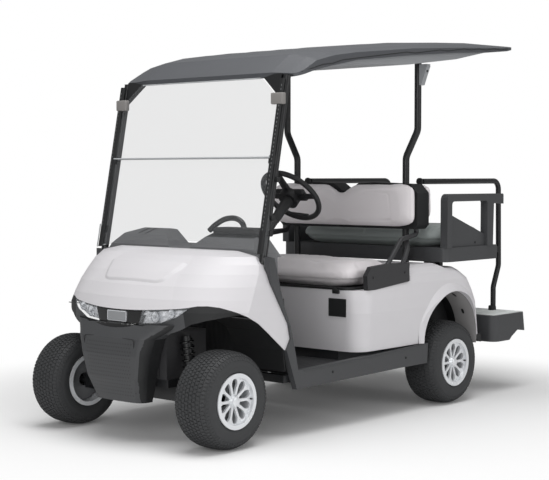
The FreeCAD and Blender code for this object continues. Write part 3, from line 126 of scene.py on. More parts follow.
@dataclass(frozen=True)
class Finish:
    """One real surface: its colour, how it reflects and its relief.

    Real moulded grain is 0.5 to 1.5 mm apart and too fine to show on a whole vehicle, so most
    pitches here are drawn several times as coarse.

    Attributes:
        title: the material's common name.
        slot: the record's material slot; not used.
        colour: main sRGB colour.
        shade: sRGB colour of its slow variation.
        roughness: middle of its roughness.
        relief: how it was made.
        pitch_mm: distance between the marks of its relief.
        depth_mm: how deep the marks are.
        metallic: 1 for bare metal, less under lacquer or dust.
        ior: index of refraction.
        coat: weight of the clear coat.
        gloss: roughness of the clear coat.
        sheen: weight of the soft sheen of vinyl.
        cloud_mm: size of the slow variation.
        spread: how far the roughness strays from its middle.
        alpha: 1 for a solid surface.
    """
    title: str
    slot: str
    colour: str
    shade: str
    roughness: float
    relief: Relief
    pitch_mm: float = 6.0
    depth_mm: float = 0.2
    metallic: float = 0.0
    ior: float = 1.5
    coat: float = 0.0
    gloss: float = 0.06
    sheen: float = 0.0
    cloud_mm: float = 220.0
    spread: float = 0.06
    alpha: float = 1.0

    def build(self) -> bpy.types.Material:
        """Makes the material, the first time that it is asked for.

        Returns:
            The material.
        """
        known = bpy.data.materials.get(self.title)
        if known:
            return known
        material = bpy.data.materials.new(self.title)
        material.use_nodes = True
        tree = material.node_tree
        tree.nodes.clear()
        shader = add_node(tree, "ShaderNodeBsdfPrincipled", Metallic=self.metallic, IOR=self.ior,
                          Coat_Weight=self.coat, Coat_Roughness=self.gloss,
                          Sheen_Weight=self.sheen, Alpha=self.alpha)
        place = add_node(tree, "ShaderNodeTexCoord").outputs["Object"]
        cloud = add_node(tree, "ShaderNodeTexNoise", {"Vector": place},
                         Scale=1000 / self.cloud_mm, Detail=4.0, Roughness=0.6)
        tint = add_node(tree, "ShaderNodeMixRGB", {"Fac": cloud.outputs["Fac"]},
                        Color1=linear(self.shade), Color2=linear(self.colour))
        tree.links.new(tint.outputs["Color"], shader.inputs["Base Color"])
        polish = add_node(tree, "ShaderNodeMapRange", {"Value": cloud.outputs["Fac"]},
                          From_Min=0.3, From_Max=0.7,
                          To_Min=max(self.roughness - self.spread, 0.02),
                          To_Max=self.roughness + self.spread)
        tree.links.new(polish.outputs["Result"], shader.inputs["Roughness"])
        height = self.height(tree, place)
        bump = add_node(tree, "ShaderNodeBump", {"Height": height}, Strength=1.0,
                        Distance=self.depth_mm / 1000)
        tree.links.new(bump.outputs["Normal"], shader.inputs["Normal"])
        end = add_node(tree, "ShaderNodeOutputMaterial")
        tree.links.new(shader.outputs["BSDF"], end.inputs["Surface"])
        return material

    def height(self, tree: bpy.types.NodeTree,
               place: bpy.types.NodeSocket) -> bpy.types.NodeSocket:
        """Adds the relief's pattern.

        Args:
            tree: the material's tree.
            place: coordinates in metres.

        Returns:
            The socket that holds the height.
        """
        scale = 1000 / self.pitch_mm
        if self.relief in (Relief.ETCHED, Relief.HIDE):
            # cells with valleys between them, broken by a finer grain
            cells = add_node(tree, "ShaderNodeTexVoronoi", {"Vector": place}, Scale=scale,
                             feature="F1")
            fine = add_node(tree, "ShaderNodeTexNoise", {"Vector": place},
                            Scale=scale * GRAIN_SHARE, Detail=3.0)
            mix = add_node(tree, "ShaderNodeMath", {0: cells.outputs["Distance"],
                                                    1: fine.outputs["Fac"]}, operation="ADD")
            return mix.outputs["Value"]
        if self.relief is Relief.RIBBED:
            return add_node(tree, "ShaderNodeTexWave", {"Vector": place},
                            Scale=scale / RIB_SPREAD, bands_direction="X",
                            Distortion=0.0).outputs["Fac"]
        detail = {Relief.POLISHED: 0.0, Relief.POWDER: 2.0, Relief.CAST: 6.0}[self.relief]
        return add_node(tree, "ShaderNodeTexNoise", {"Vector": place}, Scale=scale,
                        Detail=detail).outputs["Fac"]


# Body panels, clear-coated thermoplastic: warm white with wide, soft highlights.
BODY_WHITE = Finish("pearl_coated_thermoplastic", "body_white", "dddbde", "d7d5d8", 0.46,
                    Relief.POLISHED, 9.0, 0.02, coat=0.2, gloss=0.34, ior=1.5, spread=0.03)
# Bumper, sills and armrests, grained polypropylene: light spreads over it, no clear highlight.
CHARCOAL = Finish("grained_polypropylene", "charcoal_trim", "47484a", "3e3f41", 0.52,
                  Relief.ETCHED, 4.0, 0.25)
# Clips, liners and pans, matt polypropylene: near black, its edges barely lit. It is also the
# painted shade on the bumper's sides and wings and on the baffles behind them.
BLACK_TRIM = Finish("matt_black_polypropylene", "black_plastic", "1b1c1e", "151617", 0.6,
                    Relief.ETCHED, 5.0, 0.2)
# Centre band, hoop and springs, polished acrylic: deep black with sharp highlights.
GLOSS_BLACK = Finish("polished_black_acrylic", "black_plastic", "0b0b0c", "0e0e10", 0.12,
                     Relief.POLISHED, 12.0, 0.01, coat=0.5, ior=1.49)
# Roof, rotation-moulded polyethylene: dark grey, a coarse dull grain.
ROOF_GREY = Finish("grained_roof_polyethylene", "roof_plastic", "525458", "4a4c50", 0.5,
                   Relief.ETCHED, 8.0, 0.3)
# Roof liner, vacuum-formed sheet: pale and matt, so the roof reads light from below.
LINER_GREY = Finish("vacuum_formed_liner", "liner_grey", "a3a5a8", "9a9c9f", 0.6,
                    Relief.ETCHED, 8.0, 0.25)
# Frame and tubes, powder-coated steel: black with a half-gloss, slightly pebbled skin.
BLACK_STEEL = Finish("powder_coated_steel", "black_steel", "1d1e20", "17181a", 0.38,
                     Relief.POWDER, 3.0, 0.08, ior=1.5)
# Wheels, cast alloy under lacquer: bright silver that stays pale out of the light.
ALLOY = Finish("lacquered_cast_alloy", "wheel_alloy", "eceef1", "e4e6e9", 0.3, Relief.CAST,
               5.0, 0.05, metallic=0.3, coat=0.4)
# Tyres, moulded rubber: dusty charcoal without shine.
TYRE_RUBBER = Finish("tyre_tread_rubber", "tyre_rubber", "3b3c3e", "323334", 0.72, Relief.CAST,
                     7.0, 0.5, ior=1.52)
# Front seat and backrests, embossed marine vinyl: warm near white with a soft sheen.
SEAT_VINYL = Finish("marine_vinyl_warm_grey", "seat_vinyl", "f0ebed", "eae5e7", 0.5,
                    Relief.HIDE, 5.0, 0.25, sheen=0.15, ior=1.5)
# Rear cushion, the same vinyl in grey green.
REAR_VINYL = Finish("marine_vinyl_grey_green", "rear_vinyl", "adb5b3", "a3aba9", 0.5,
                    Relief.HIDE, 5.0, 0.25, sheen=0.15)
# Floor and pedals, ribbed rubber: dark, with ribs along the vehicle.
FLOOR_MAT = Finish("ribbed_rubber_mat", "floor_mat", "2a2b2d", "222325", 0.7, Relief.RIBBED,
                   16.0, 1.5)
# Battery block, etched polypropylene: plain dark grey.
BATTERY = Finish("battery_case_polypropylene", "battery_case", "2f3033", "292a2d", 0.55,
                 Relief.ETCHED, 6.0, 0.2)
# Drive motor, painted cast iron: dark with a rough skin.
MOTOR = Finish("painted_cast_iron", "motor_casing", "38393b", "2e2f31", 0.55, Relief.CAST,
               6.0, 0.5)
# Steering wheel, soft urethane: black with a fine leathery grain.
WHEEL_GRIP = Finish("soft_black_urethane", "wheel_grip", "19191b", "131315", 0.55, Relief.HIDE,
                    4.0, 0.2)
# Blank badge, key and lamp rings, satin stainless steel: mid grey with blurred reflections.
BADGE_METAL = Finish("satin_stainless_plate", "blank_badge", "c3c5c8", "b5b7ba", 0.28,
                     Relief.POLISHED, 8.0, 0.02, metallic=1.0)
# Lamp reflectors, metallised plastic: bright, so each facet takes its own tone.
CHROME = Finish("vacuum_metallised_reflector", "clear_lens", "f0f2f6", "e6e8ec", 0.3,
                Relief.POLISHED, 14.0, 0.3, metallic=0.6)
# Tail lamps, red polycarbonate: deep red with a wet gloss.
RED_LENS = Finish("red_polycarbonate", "red_lens", "8c1315", "7a0f11", 0.15, Relief.POLISHED,
                  10.0, 0.1, coat=0.5, ior=1.58)
# Windshield, clear polycarbonate sheet: a faint grey veil over what is behind it.
SCREEN = Finish("clear_polycarbonate_sheet", "windshield_sheet", "8e9092", "888a8b", 0.08,
                Relief.POLISHED, 300.0, 0.05, ior=1.1, alpha=0.13, spread=0.01)
# Headlight covers, clear polycarbonate: all but unseen apart from their gloss.
LENS = Finish("clear_polycarbonate_lens", "clear_lens", "eef2f6", "e6eaee", 0.04,
              Relief.POLISHED, 40.0, 0.1, ior=1.3, alpha=0.12, spread=0.01)
# Flexible clear strip along the screen's fold and edges: pale, half matt.
HINGE_STRIP = Finish("extruded_clear_vinyl_edging", "windshield_sheet", "b9bcbe", "adb0b2", 0.4,
                     Relief.POLISHED, 4.0, 0.05, ior=1.53)
# Moulded grey elastomer pads of the screen's clamps.
CLAMP_PAD = Finish("grey_elastomer_pad", "black_plastic", "8d8a88", "7e7b79", 0.5,
                   Relief.CAST, 1.6, 0.15, ior=1.52)
# White moulding inside the rear fenders, painted grey: painted shade.
INNER_WALL = Finish("shaded_white_wheel_housing", "black_plastic", "b0aeae", "a09e9e", 0.6, Relief.CAST,
                    2.2, 0.2, ior=1.5)
# Ribbed rubber of the rear step's mat, painted near white: painted light on a top that the roof
# shades.
STEP_MAT = Finish("step_rubber_painted_light", "floor_mat", "f0f4f2", "e8ecea", 0.65,
                  Relief.CAST, 1.8, 0.2, ior=1.52)
# Covers and end panels: a finer, darker grain than the trim. It is also the painted shade of the
# bumper's dimples.
COVER_BLACK = Finish("fine_grained_abs", "black_plastic", "343436", "2e2e30", 0.5,
                     Relief.ETCHED, 3.0, 0.15)
# Dash, soft grained moulding: mid grey and matt.
DASH_GREY = Finish("soft_grained_dash_moulding", "charcoal_trim", "757678", "6b6c6e", 0.55,
                   Relief.ETCHED, 4.0, 0.25)
# Brake drums, plain steel with a film of dust: dull grey behind the spokes.
DRUM_STEEL = Finish("plain_drum_steel", "black_steel", "77787a", "6b6c6e", 0.5, Relief.CAST,
                    4.0, 0.3, metallic=0.3)

CAD_FINISHES: dict[str, Finish] = {
    "front_cowl": BODY_WHITE, "rear_body": BODY_WHITE, "front_bumper": CHARCOAL,
    "sills": CHARCOAL, "dash": DASH_GREY, "hip_restraints": COVER_BLACK,
    "rear_seat_base": CHARCOAL, "armrests": CHARCOAL, "footplate": CHARCOAL,
    "front_cover": COVER_BLACK,
    "arch_liners": BLACK_TRIM, "windshield_clips": BLACK_TRIM, "socket_cover": BLACK_TRIM,
    "seat_pan": BLACK_TRIM, "backrest_shell": BLACK_TRIM, "roof": ROOF_GREY,
    "roof_liner": LINER_GREY, "windshield": SCREEN, "headlights": LENS,
    "badge_plate": BADGE_METAL, "floor": FLOOR_MAT, "battery_pack": BATTERY,
    "drive_motor": MOTOR, "steering_wheel": WHEEL_GRIP, "tail_lamps": RED_LENS,
    "rim_front_left": ALLOY, "rim_front_right": ALLOY, "rim_rear_left": ALLOY,
    "rim_rear_right": ALLOY,
}


# ---------------------------------------------------------------- mesh helpers
def add_piece(name: str, vertices: Sequence[Sequence[float]], faces: Sequence[Sequence[int]],
              finish: Finish, body: str, sharp: float = 35.0) -> bpy.types.Object:
    """Makes one piece from points and faces, and sets it on its body.

    Args:
        name: the piece's name.
        vertices: points in the row frame.
        faces: corners of each face.
        finish: its surface.
        body: the body that carries it.
        sharp: edges turn sharper than this many degrees stay sharp.

    Returns:
        The new object.
    """
    mesh = bpy.data.meshes.new(name)
    mesh.from_pydata([tuple(v) for v in vertices], [], faces)
    mesh.validate()
    piece = bpy.data.objects.new(name, mesh)
    bpy.context.scene.collection.objects.link(piece)
    soften(piece, sharp)
    mesh.materials.append(finish.build())
    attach(piece, body)
    return piece


def soften(piece: bpy.types.Object, sharp: float) -> None:
    """Shades a mesh smooth up to an angle in degrees."""
    piece.data.shade_smooth()
    piece.data.set_sharp_from_angle(angle=math.radians(sharp))


def merged(parts: Sequence[Geometry]) -> Geometry:
    """Joins several pieces of geometry into one.

    Args:
        parts: points and faces of each.

    Returns:
        Points and faces of all of them.
    """
    vertices, faces = [], []
    for points, polygons in parts:
        start = len(vertices)
        vertices += [Vector(p) for p in points]
        faces += [[start + i for i in polygon] for polygon in polygons]
    return vertices, faces


def lathe(profile: Sequence[tuple[float, float]], centre: Vector, axis: str = "X",
          steps: int = 64, flip: bool = False) -> Geometry:
    """Turns a profile about an axis.

    Args:
        profile: (distance along the axis, radius) from one end to the other.
        centre: a point on the axis.
        axis: "X", "Y" or "Z".
        steps: number of sides.
        flip: reverses the distance along the axis.

    Returns:
        Points and faces.
    """
    points, faces, rows = [], [], len(profile)
    for step in range(steps):
        angle = 2 * math.pi * step / steps
        c, s = math.cos(angle), math.sin(angle)
        for along, radius in profile:
            along = -along if flip else along
            local = {"X": (along, radius * c, radius * s), "Y": (radius * s, along, radius * c),
                     "Z": (radius * c, radius * s, along)}[axis]
            points.append(centre + Vector(local))
    for step in range(steps):
        near, far = step * rows, (step + 1) % steps * rows
        for row in range(rows - 1):
            quad = [near + row, near + row + 1, far + row + 1, far + row]
            faces.append(quad[::-1] if flip else quad)
    return points, faces


def smooth_path(points: Sequence[Point], steps: int = 8) -> list[Vector]:
    """A smooth curve through points, by the Catmull-Rom rule.

    Args:
        points: places that the curve goes through.
        steps: points on each span.

    Returns:
        Closely spaced points of the curve.
    """
    knots = [Vector(p) for p in points]
    knots = [2 * knots[0] - knots[1]] + knots + [2 * knots[-1] - knots[-2]]
    run = []
    for a, b, c, d in zip(knots, knots[1:], knots[2:], knots[3:]):
        for step in range(steps):
            t = step / steps
            run.append(0.5 * (2 * b + (c - a) * t + (2 * a - 5 * b + 4 * c - d) * t * t
                              + (3 * b - a - 3 * c + d) * t * t * t))
    return run + [knots[-2]]


def swept(path: Sequence[Vector], radius: float | Callable[[float], float], sides: int = 12,
          flat: float = 1.0, closed: bool = False) -> Geometry:
    """Sweeps a round or flattened section along a path.

    Args:
        path: points of the path.
        radius: one radius, or a function of the share of the path.
        sides: points round the section.
        flat: height of the section over its width.
        closed: whether the path is a loop.

    Returns:
        Points and faces, with closed ends.
    """
    points, faces, count = [], [], len(path)
    upward = Vector((0, 0, 1))
    for index, place in enumerate(path):
        before = path[index - 1] if index or closed else place
        after = path[(index + 1) % count] if index < count - 1 or closed else place
        along = (after - before).normalized()
        side = along.cross(upward)
        if side.length <= 0.05:  # the path stands upright
            side = along.cross(Vector((0, 1, 0)))
        side = side.normalized()
        up = side.cross(along).normalized()
        size = radius(index / (count - 1)) if callable(radius) else radius
        for step in range(sides):
            angle = 2 * math.pi * step / sides
            points.append(place + size * (math.cos(angle) * side + flat * math.sin(angle) * up))
    spans = count if closed else count - 1
    for index in range(spans):
        near, far = index * sides, (index + 1) % count * sides
        for step in range(sides):
            after = (step + 1) % sides
            faces.append([near + step, near + after, far + after, far + step])
    if not closed:
        faces += [list(range(sides))[::-1], [(count - 1) * sides + i for i in range(sides)]]
    return points, faces


def rounded_block(low: Sequence[float], high: Sequence[float], radius: float,
                  steps: int = 3) -> Geometry:
    """A block between two corners with all its edges rounded.

    Args:
        low: lowest corner.
        high: highest corner.
        radius: how far the rounding reaches from each edge.
        steps: faces across a rounded edge.

    Returns:
        Points and faces.
    """
    shape = bmesh.new()
    bmesh.ops.create_cube(shape, size=1.0)
    low, high = Vector(low), Vector(high)
    for corner in shape.verts:
        corner.co = Vector((low[i] + (corner.co[i] + 0.5) * (high[i] - low[i]) for i in range(3)))
    bmesh.ops.bevel(shape, geom=shape.edges[:], offset=radius, segments=steps, profile=0.5,
                    affect="EDGES")
    shape.verts.index_update()
    points = [v.co.copy() for v in shape.verts]
    faces = [[v.index for v in f.verts] for f in shape.faces]
    shape.free()
    return points, faces


def on_surface(node: str, origin: Point, direction: Point) -> tuple[Vector, Vector] | None:
    """Where a ray meets a CAD node, with the surface's normal, or None."""
    hit, place, normal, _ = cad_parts[node].ray_cast(Vector(origin), Vector(direction))
    return (place, normal) if hit else None


def repaint(node: str, finish: Finish, chosen: Callable[[Vector, Vector], bool]) -> None:
    """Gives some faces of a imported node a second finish.

    Args:
        node: the node's name.
        finish: the second finish.
        chosen: takes a face's centre and normal and says whether it takes the finish.
    """
    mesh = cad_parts[node].data
    mesh.materials.append(finish.build())
    for face in mesh.polygons:
        if chosen(face.center, face.normal):
            face.material_index = len(mesh.materials) - 1


def mirrored(geometry: Geometry) -> Geometry:
    """The same geometry on the other side of the vehicle."""
    points, faces = geometry
    return [Vector((-p[0], p[1], p[2])) for p in points], [face[::-1] for face in faces]


def both_sides(geometry: Geometry) -> Geometry:
    """The geometry and its mirror image."""
    return merged([geometry, mirrored(geometry)])


def bolt_head(centre: Vector, outward: Vector, radius: float = 0.006) -> Geometry:
    """A domed screw head seated on a face.

    Args:
        centre: where it sits.
        outward: direction that it faces.
        radius: half its width.

    Returns:
        Points and faces.
    """
    outward = outward.normalized()
    turn = Vector((0, 0, 1)).rotation_difference(outward).to_matrix()
    points, faces = lathe([(0, radius), (radius * 0.3, radius), (radius * 0.6, radius * 0.6),
                           (radius * 0.65, 0.0001)], Vector(), "Z", 10)
    return [turn @ p + centre for p in points], faces


# ---------------------------------------------------------------- wheels
# Sections turned about the axle: distance out from the wheel's middle, and radius.
DRUM_SECTION: Section = [(-0.055, 0.03), (-0.055, 0.098), (0.008, 0.098), (0.012, 0.09),
                         (0.012, 0.03)]
CAP_SECTION: Section = [(0.0865, 0.0235), (0.0915, 0.0225), (0.0945, 0.0185), (0.0962, 0.01),
                        (0.0966, 0.0001)]
LIP_SECTION: Section = [(0.0792, 0.1102), (0.094, 0.1115), (0.0962, 0.1138), (0.0968, 0.1168),
                        (0.096, 0.1198), (0.0925, 0.1215)]
# Half of a tyre's section: share of the half width, and share of the height over the bead.
TYRE_OUTSIDE: Section = [(0.87, 0.0), (0.88, 0.12), (0.93, 0.17), (0.965, 0.23), (0.975, 0.25),
                         (0.99, 0.34), (1.0, 0.44), (0.992, 0.53), (0.978, 0.56), (0.972, 0.6),
                         (0.94, 0.69), (0.895, 0.77), (0.835, 0.84), (0.75, 0.9), (0.64, 0.945),
                         (0.5, 0.975), (0.3, 0.993), (0, 1.0)]
TYRE_INSIDE: Section = [(0.66, 0), (0.8, 0.5), (0.4, 0.86), (-0.4, 0.86), (-0.8, 0.5),
                        (-0.66, 0), (-0.87, 0)]


@dataclass
class Tyre:
    """A low, wide turf tyre with rows of small blocks, and what shows inside its wheel.

    Attributes:
        body: the wheel's body.
        tyre_node: the CAD tyre that it stands for.
        centre: the wheel's centre.
        side: +1 on the vehicle's left.
        bead: radius where the tyre meets its rim.
        tread_rise: height over the bead where the tread starts.
        rows: rows of blocks from shoulder to shoulder.
        around: blocks in a row.
        block_height: height of a block over the casing.
        block_root: how far a block goes down into the casing.
        block_wide: share of a row's width that a block takes.
        taper: size of a block's top over its foot.
        slant: how far its ends slant.
        reach: share of the tread that the rows take.
    """
    body: str
    tyre_node: str
    centre: Vector
    side: int
    radius: float = 0.218
    width: float = 0.203
    bead: float = 0.1106
    tread_rise: float = 0.055
    rows: int = 11
    around: int = 74
    block_height: float = 0.0042
    block_root: float = 0.002
    block_wide: float = 0.84
    taper: float = 0.82
    slant: float = 0.25
    reach: float = 0.93

    def outline(self) -> list[tuple[float, float]]:
        """Half of the section: distance from the middle and radius, from bead to crown."""
        rise = self.radius - self.block_height - self.bead
        return [(self.width / 2 * a, self.bead + rise * h) for a, h in TYRE_OUTSIDE]

    def carcass(self) -> Geometry:
        """The casing with its rim rib and sidewall lines.

        Returns:
            Points and faces.
        """
        half, rise = self.width / 2, self.radius - self.block_height - self.bead
        left = [(-x, r) for x, r in self.outline()]
        profile = left + [(-x, r) for x, r in left[-2::-1]]
        inside = [(half * a, self.bead + rise * h) for a, h in TYRE_INSIDE]
        return lathe(profile + inside, self.centre, steps=96)

    def at(self, share: float, lift: float, turn: float) -> Vector:
        """A point over the tread.

        Args:
            share: -1 to 1 from shoulder to shoulder, along the surface.
            lift: height over the surface.
            turn: angle about the axle.

        Returns:
            The point.
        """
        run = [(x, r) for x, r in self.outline() if r > self.bead + self.tread_rise][::-1]
        goal = abs(share) * sum(math.dist(p, q) for p, q in zip(run, run[1:]))
        for p, q in zip(run, run[1:]):
            step = math.dist(p, q)
            if goal <= step or q is run[-1]:
                break
            goal -= step
        x, r = (p[0] + (q[0] - p[0]) * goal / step, p[1] + (q[1] - p[1]) * goal / step)
        x += lift * (p[1] - q[1]) / step
        r += lift * (q[0] - p[0]) / step
        x = x if share > 0 else -x
        return self.centre + Vector((x, r * math.cos(turn), r * math.sin(turn)))

    def blocks(self) -> Geometry:
        """Staggered tread blocks, lower towards the shoulders.

        Returns:
            Points and faces.
        """
        parts = []
        turn_by = 2 * math.pi / self.around
        for row in range(self.rows):
            share = self.reach * (2 * (row + 0.5) / self.rows - 1)
            outer = row in (0, self.rows - 1)
            rise = self.block_height * (0.5 if outer else 1.0 - 0.35 * abs(share))
            corners = []
            for lift, shrink in ((-self.block_root, 1.0), (rise, self.taper)):
                for u, v in ((-1, -1), (1, -1), (1, 1), (-1, 1)):
                    wide = self.reach / self.rows * self.block_wide * shrink
                    long = turn_by * (0.34 if outer else 0.38) * shrink
                    corners.append((share + wide * u, lift, long, u, v))
            for step in range(self.around):
                slant = self.slant if (row + step) % 2 else -self.slant
                angle = turn_by * (step + 0.5 * (row % 2))
                parts.append(([self.at(place, lift, angle + long * (v + slant * u))
                               for place, lift, long, u, v in corners],
                              [[4, 5, 6, 7], [0, 1, 5, 4], [1, 2, 6, 5], [2, 3, 7, 6],
                               [3, 0, 4, 7]]))
        return merged(parts)

    def inner_parts(self) -> None:
        """The drum behind the spokes, the domed cap, the bright lip and the valve."""
        s, name = self.side, self.tyre_node.replace("tyre_", "")
        drum = lathe(DRUM_SECTION, self.centre, steps=48, flip=s < 0)
        add_piece(f"brake_drum_{name}", *drum, DRUM_STEEL, self.body)
        cap = lathe(CAP_SECTION, self.centre, steps=32, flip=s < 0)
        lip = lathe(LIP_SECTION, self.centre, steps=96, flip=s < 0)
        valve = swept([self.centre + Vector((s * 0.077, 0.1, 0.0)),
                       self.centre + Vector((s * 0.094, 0.097, 0.0))], 0.0035, 8)
        add_piece(f"wheel_cap_{name}", *merged([cap, lip]), ALLOY, self.body)
        add_piece(f"tyre_valve_{name}", *valve, BLACK_TRIM, self.body)

    def build(self) -> None:
        """Makes the tyre and the parts inside the wheel."""
        tread = add_piece(self.tyre_node + "_tread", *merged([self.carcass(), self.blocks()]),
                          TYRE_RUBBER, self.body, 28.0)
        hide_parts(self.tyre_node)
        self.inner_parts()


# ---------------------------------------------------------------- soft goods
@dataclass
class Pad:
    """A foam pad under a sewn cover.

    Attributes:
        name: the piece's name.
        node: the CAD solid that it stands for, or None where another pad stands for it.
        low: lowest corner.
        high: highest corner.
        body: the body that carries it.
        finish: its cover.
        form: moves a point of the plain rounded block to the pad's real form.
        seams: distance in metres from a point to the nearest sewn line.
        corner: squareness of its outline; a higher power has tighter corners.
        edge: squareness of its border, in the same way.
        fill: how tight it is stuffed, from 0 to 1; not used.
        swell: how far the cover may swell over the foam.
        voxel: size of the remeshed cells.
        groove: depth of a sewn line.
        groove_reach: how far from its line the groove fades.
        wrinkle: depth of the cover's slow waves.
        wrinkle_scale: waves in a metre.
        cuts: cuts along each edge of the first block.
        upright: whether its flat side stands up.
        pressure: air pressure in the cloth simulation.
        stretch: resistance of the cover to stretching.
        bend: resistance of the cover to bending.
        frames: frames simulated.
    """
    name: str
    node: str | None
    low: Vector
    high: Vector
    body: str
    finish: Finish
    form: Callable[[Vector, Vector], Vector]
    seams: Callable[[Vector], float]
    corner: float = 5.0
    edge: float = 3.6
    fill: float = 0.8
    swell: float = 0.016
    voxel: float = 0.012
    groove: float = 0.006
    groove_reach: float = 0.008
    wrinkle: float = 0.0008
    wrinkle_scale: float = 14.0
    cuts: int = 22
    upright: bool = False
    pressure: float = 4.0
    stretch: float = 20.0
    bend: float = 1.5
    frames: int = 14

    def block(self) -> bpy.types.Object:
        """A rounded block of the pad's size, in its real form.

        Returns:
            The new object.
        """
        shape = bmesh.new()
        bmesh.ops.create_cube(shape, size=2.0)
        bmesh.ops.subdivide_edges(shape, edges=shape.edges[:], cuts=self.cuts, use_grid_fill=True)
        middle, half = (self.low + self.high) / 2, (self.high - self.low) / 2
        inset = Vector((self.swell * 0.45,) * 3)
        for point in shape.verts:
            x, y, z = point.co
            flat, tall = ((x, y), z) if not self.upright else ((x, z), y)
            plan = abs(flat[0]) ** self.corner + abs(flat[1]) ** self.corner
            plan = plan ** (1 / self.corner)
            whole = (plan ** self.edge + abs(tall) ** self.edge) ** (1 / self.edge)
            unit = point.co / whole
            placed = middle + Vector((unit[i] * (half[i] - inset[i]) for i in range(3)))
            point.co = self.form(placed, unit)
        mesh = bpy.data.meshes.new(self.name)
        shape.to_mesh(mesh)
        shape.free()
        piece = bpy.data.objects.new(self.name, mesh)
        bpy.context.scene.collection.objects.link(piece)
        return piece

    def applied(self, piece: bpy.types.Object) -> None:
        """Turns a piece's modifiers into its mesh.

        Args:
            piece: the piece.
        """
        view = bpy.context.evaluated_depsgraph_get()
        mesh = bpy.data.meshes.new_from_object(piece.evaluated_get(view))
        piece.modifiers.clear()
        piece.data = mesh

    def inflate(self, piece: bpy.types.Object) -> None:
        """Lets the cover swell over the foam, no further than the cap.

        Args:
            piece: the remeshed pad.
        """
        before = [v.co.copy() for v in piece.data.vertices]
        cloth = piece.modifiers.new("cloth", "CLOTH")
        cloth.settings.use_pressure = True
        cloth.settings.uniform_pressure_force = self.pressure
        cloth.settings.effector_weights.gravity = 0.0
        cloth.settings.quality = 4
        cloth.settings.tension_stiffness = self.stretch
        cloth.settings.compression_stiffness = self.stretch
        cloth.settings.bending_stiffness = self.bend
        scene = bpy.context.scene
        for step in range(1, self.frames + 1):
            scene.frame_set(step)
        self.applied(piece)
        scene.frame_set(1)
        for vertex, start in zip(piece.data.vertices, before):
            shift = vertex.co - start
            if shift.length > self.swell:
                shift *= self.swell / shift.length
            vertex.co = start + shift

    def sew(self, piece: bpy.types.Object) -> None:
        """Pulls the cover down along its seams and keeps it inside its box.

        Args:
            piece: the swollen pad.
        """
        mesh = piece.data
        normals = [v.normal.copy() for v in mesh.vertices]
        for vertex, normal in zip(mesh.vertices, normals):
            away = self.seams(vertex.co)
            dip = self.groove * math.exp(-(away / self.groove_reach) ** 2)
            dip += self.wrinkle * noise.noise(vertex.co * self.wrinkle_scale)
            vertex.co -= normal * dip
            for i in range(3):
                vertex.co[i] = min(max(vertex.co[i], self.low[i]), self.high[i])
        mesh.update()

    def build(self) -> bpy.types.Object:
        """Makes, inflates, sews and dresses the pad.

        Returns:
            The finished piece.
        """
        piece = self.block()
        remesh = piece.modifiers.new("remesh", "REMESH")
        remesh.mode, remesh.voxel_size = "VOXEL", self.voxel
        self.applied(piece)
        self.inflate(piece)
        finer = piece.modifiers.new("finer", "SUBSURF")
        finer.levels = finer.render_levels = 1
        self.applied(piece)
        piece.data.update()
        self.sew(piece)
        piece.data.materials.clear()
        piece.data.materials.append(self.finish.build())
        soften(piece, ROLLED)
        if self.node:
            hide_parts(self.node)
        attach(piece, self.body)
        return piece


def from_line(x: float, y: float, run: Sequence[tuple[float, float]]) -> float:
    """Distance from a point to a broken line.

    Args:
        x: the point's first coordinate.
        y: the point's second coordinate.
        run: the line's points.

    Returns:
        The shortest distance.
    """
    best, spot = FAR, Vector((x, y))
    for a, b in zip(run, run[1:]):
        start, span = Vector(a), Vector(b) - Vector(a)
        share = min(max((spot - start).dot(span) / span.length_squared, 0.0), 1.0)
        best = min(best, (spot - start - span * share).length)
    return best


# Sewn lines of the left place, from above for a cushion and from the front for a backrest.
CUSHION_ARCH: Section = [(0.06, 0.19), (0.075, 0.02), (0.12, -0.10), (0.25, -0.135), (0.38, -0.10),
                         (0.425, 0.02), (0.44, 0.19)]
CUSHION_INNER: Section = [(0.14, 0.19), (0.165, 0.05), (0.25, 0.01), (0.335, 0.05),
                          (0.36, 0.19)]
BACK_PANEL: Section = [(0.087, 0.96), (0.165, 1.102), (0.185, 1.112), (0.325, 1.104),
                       (0.338, 1.092), (0.352, 0.966), (0.087, 0.96)]
REAR_PANEL: Section = [(0.09, 0.6), (0.09, 0.98), (0.42, 0.98), (0.42, 0.6)]


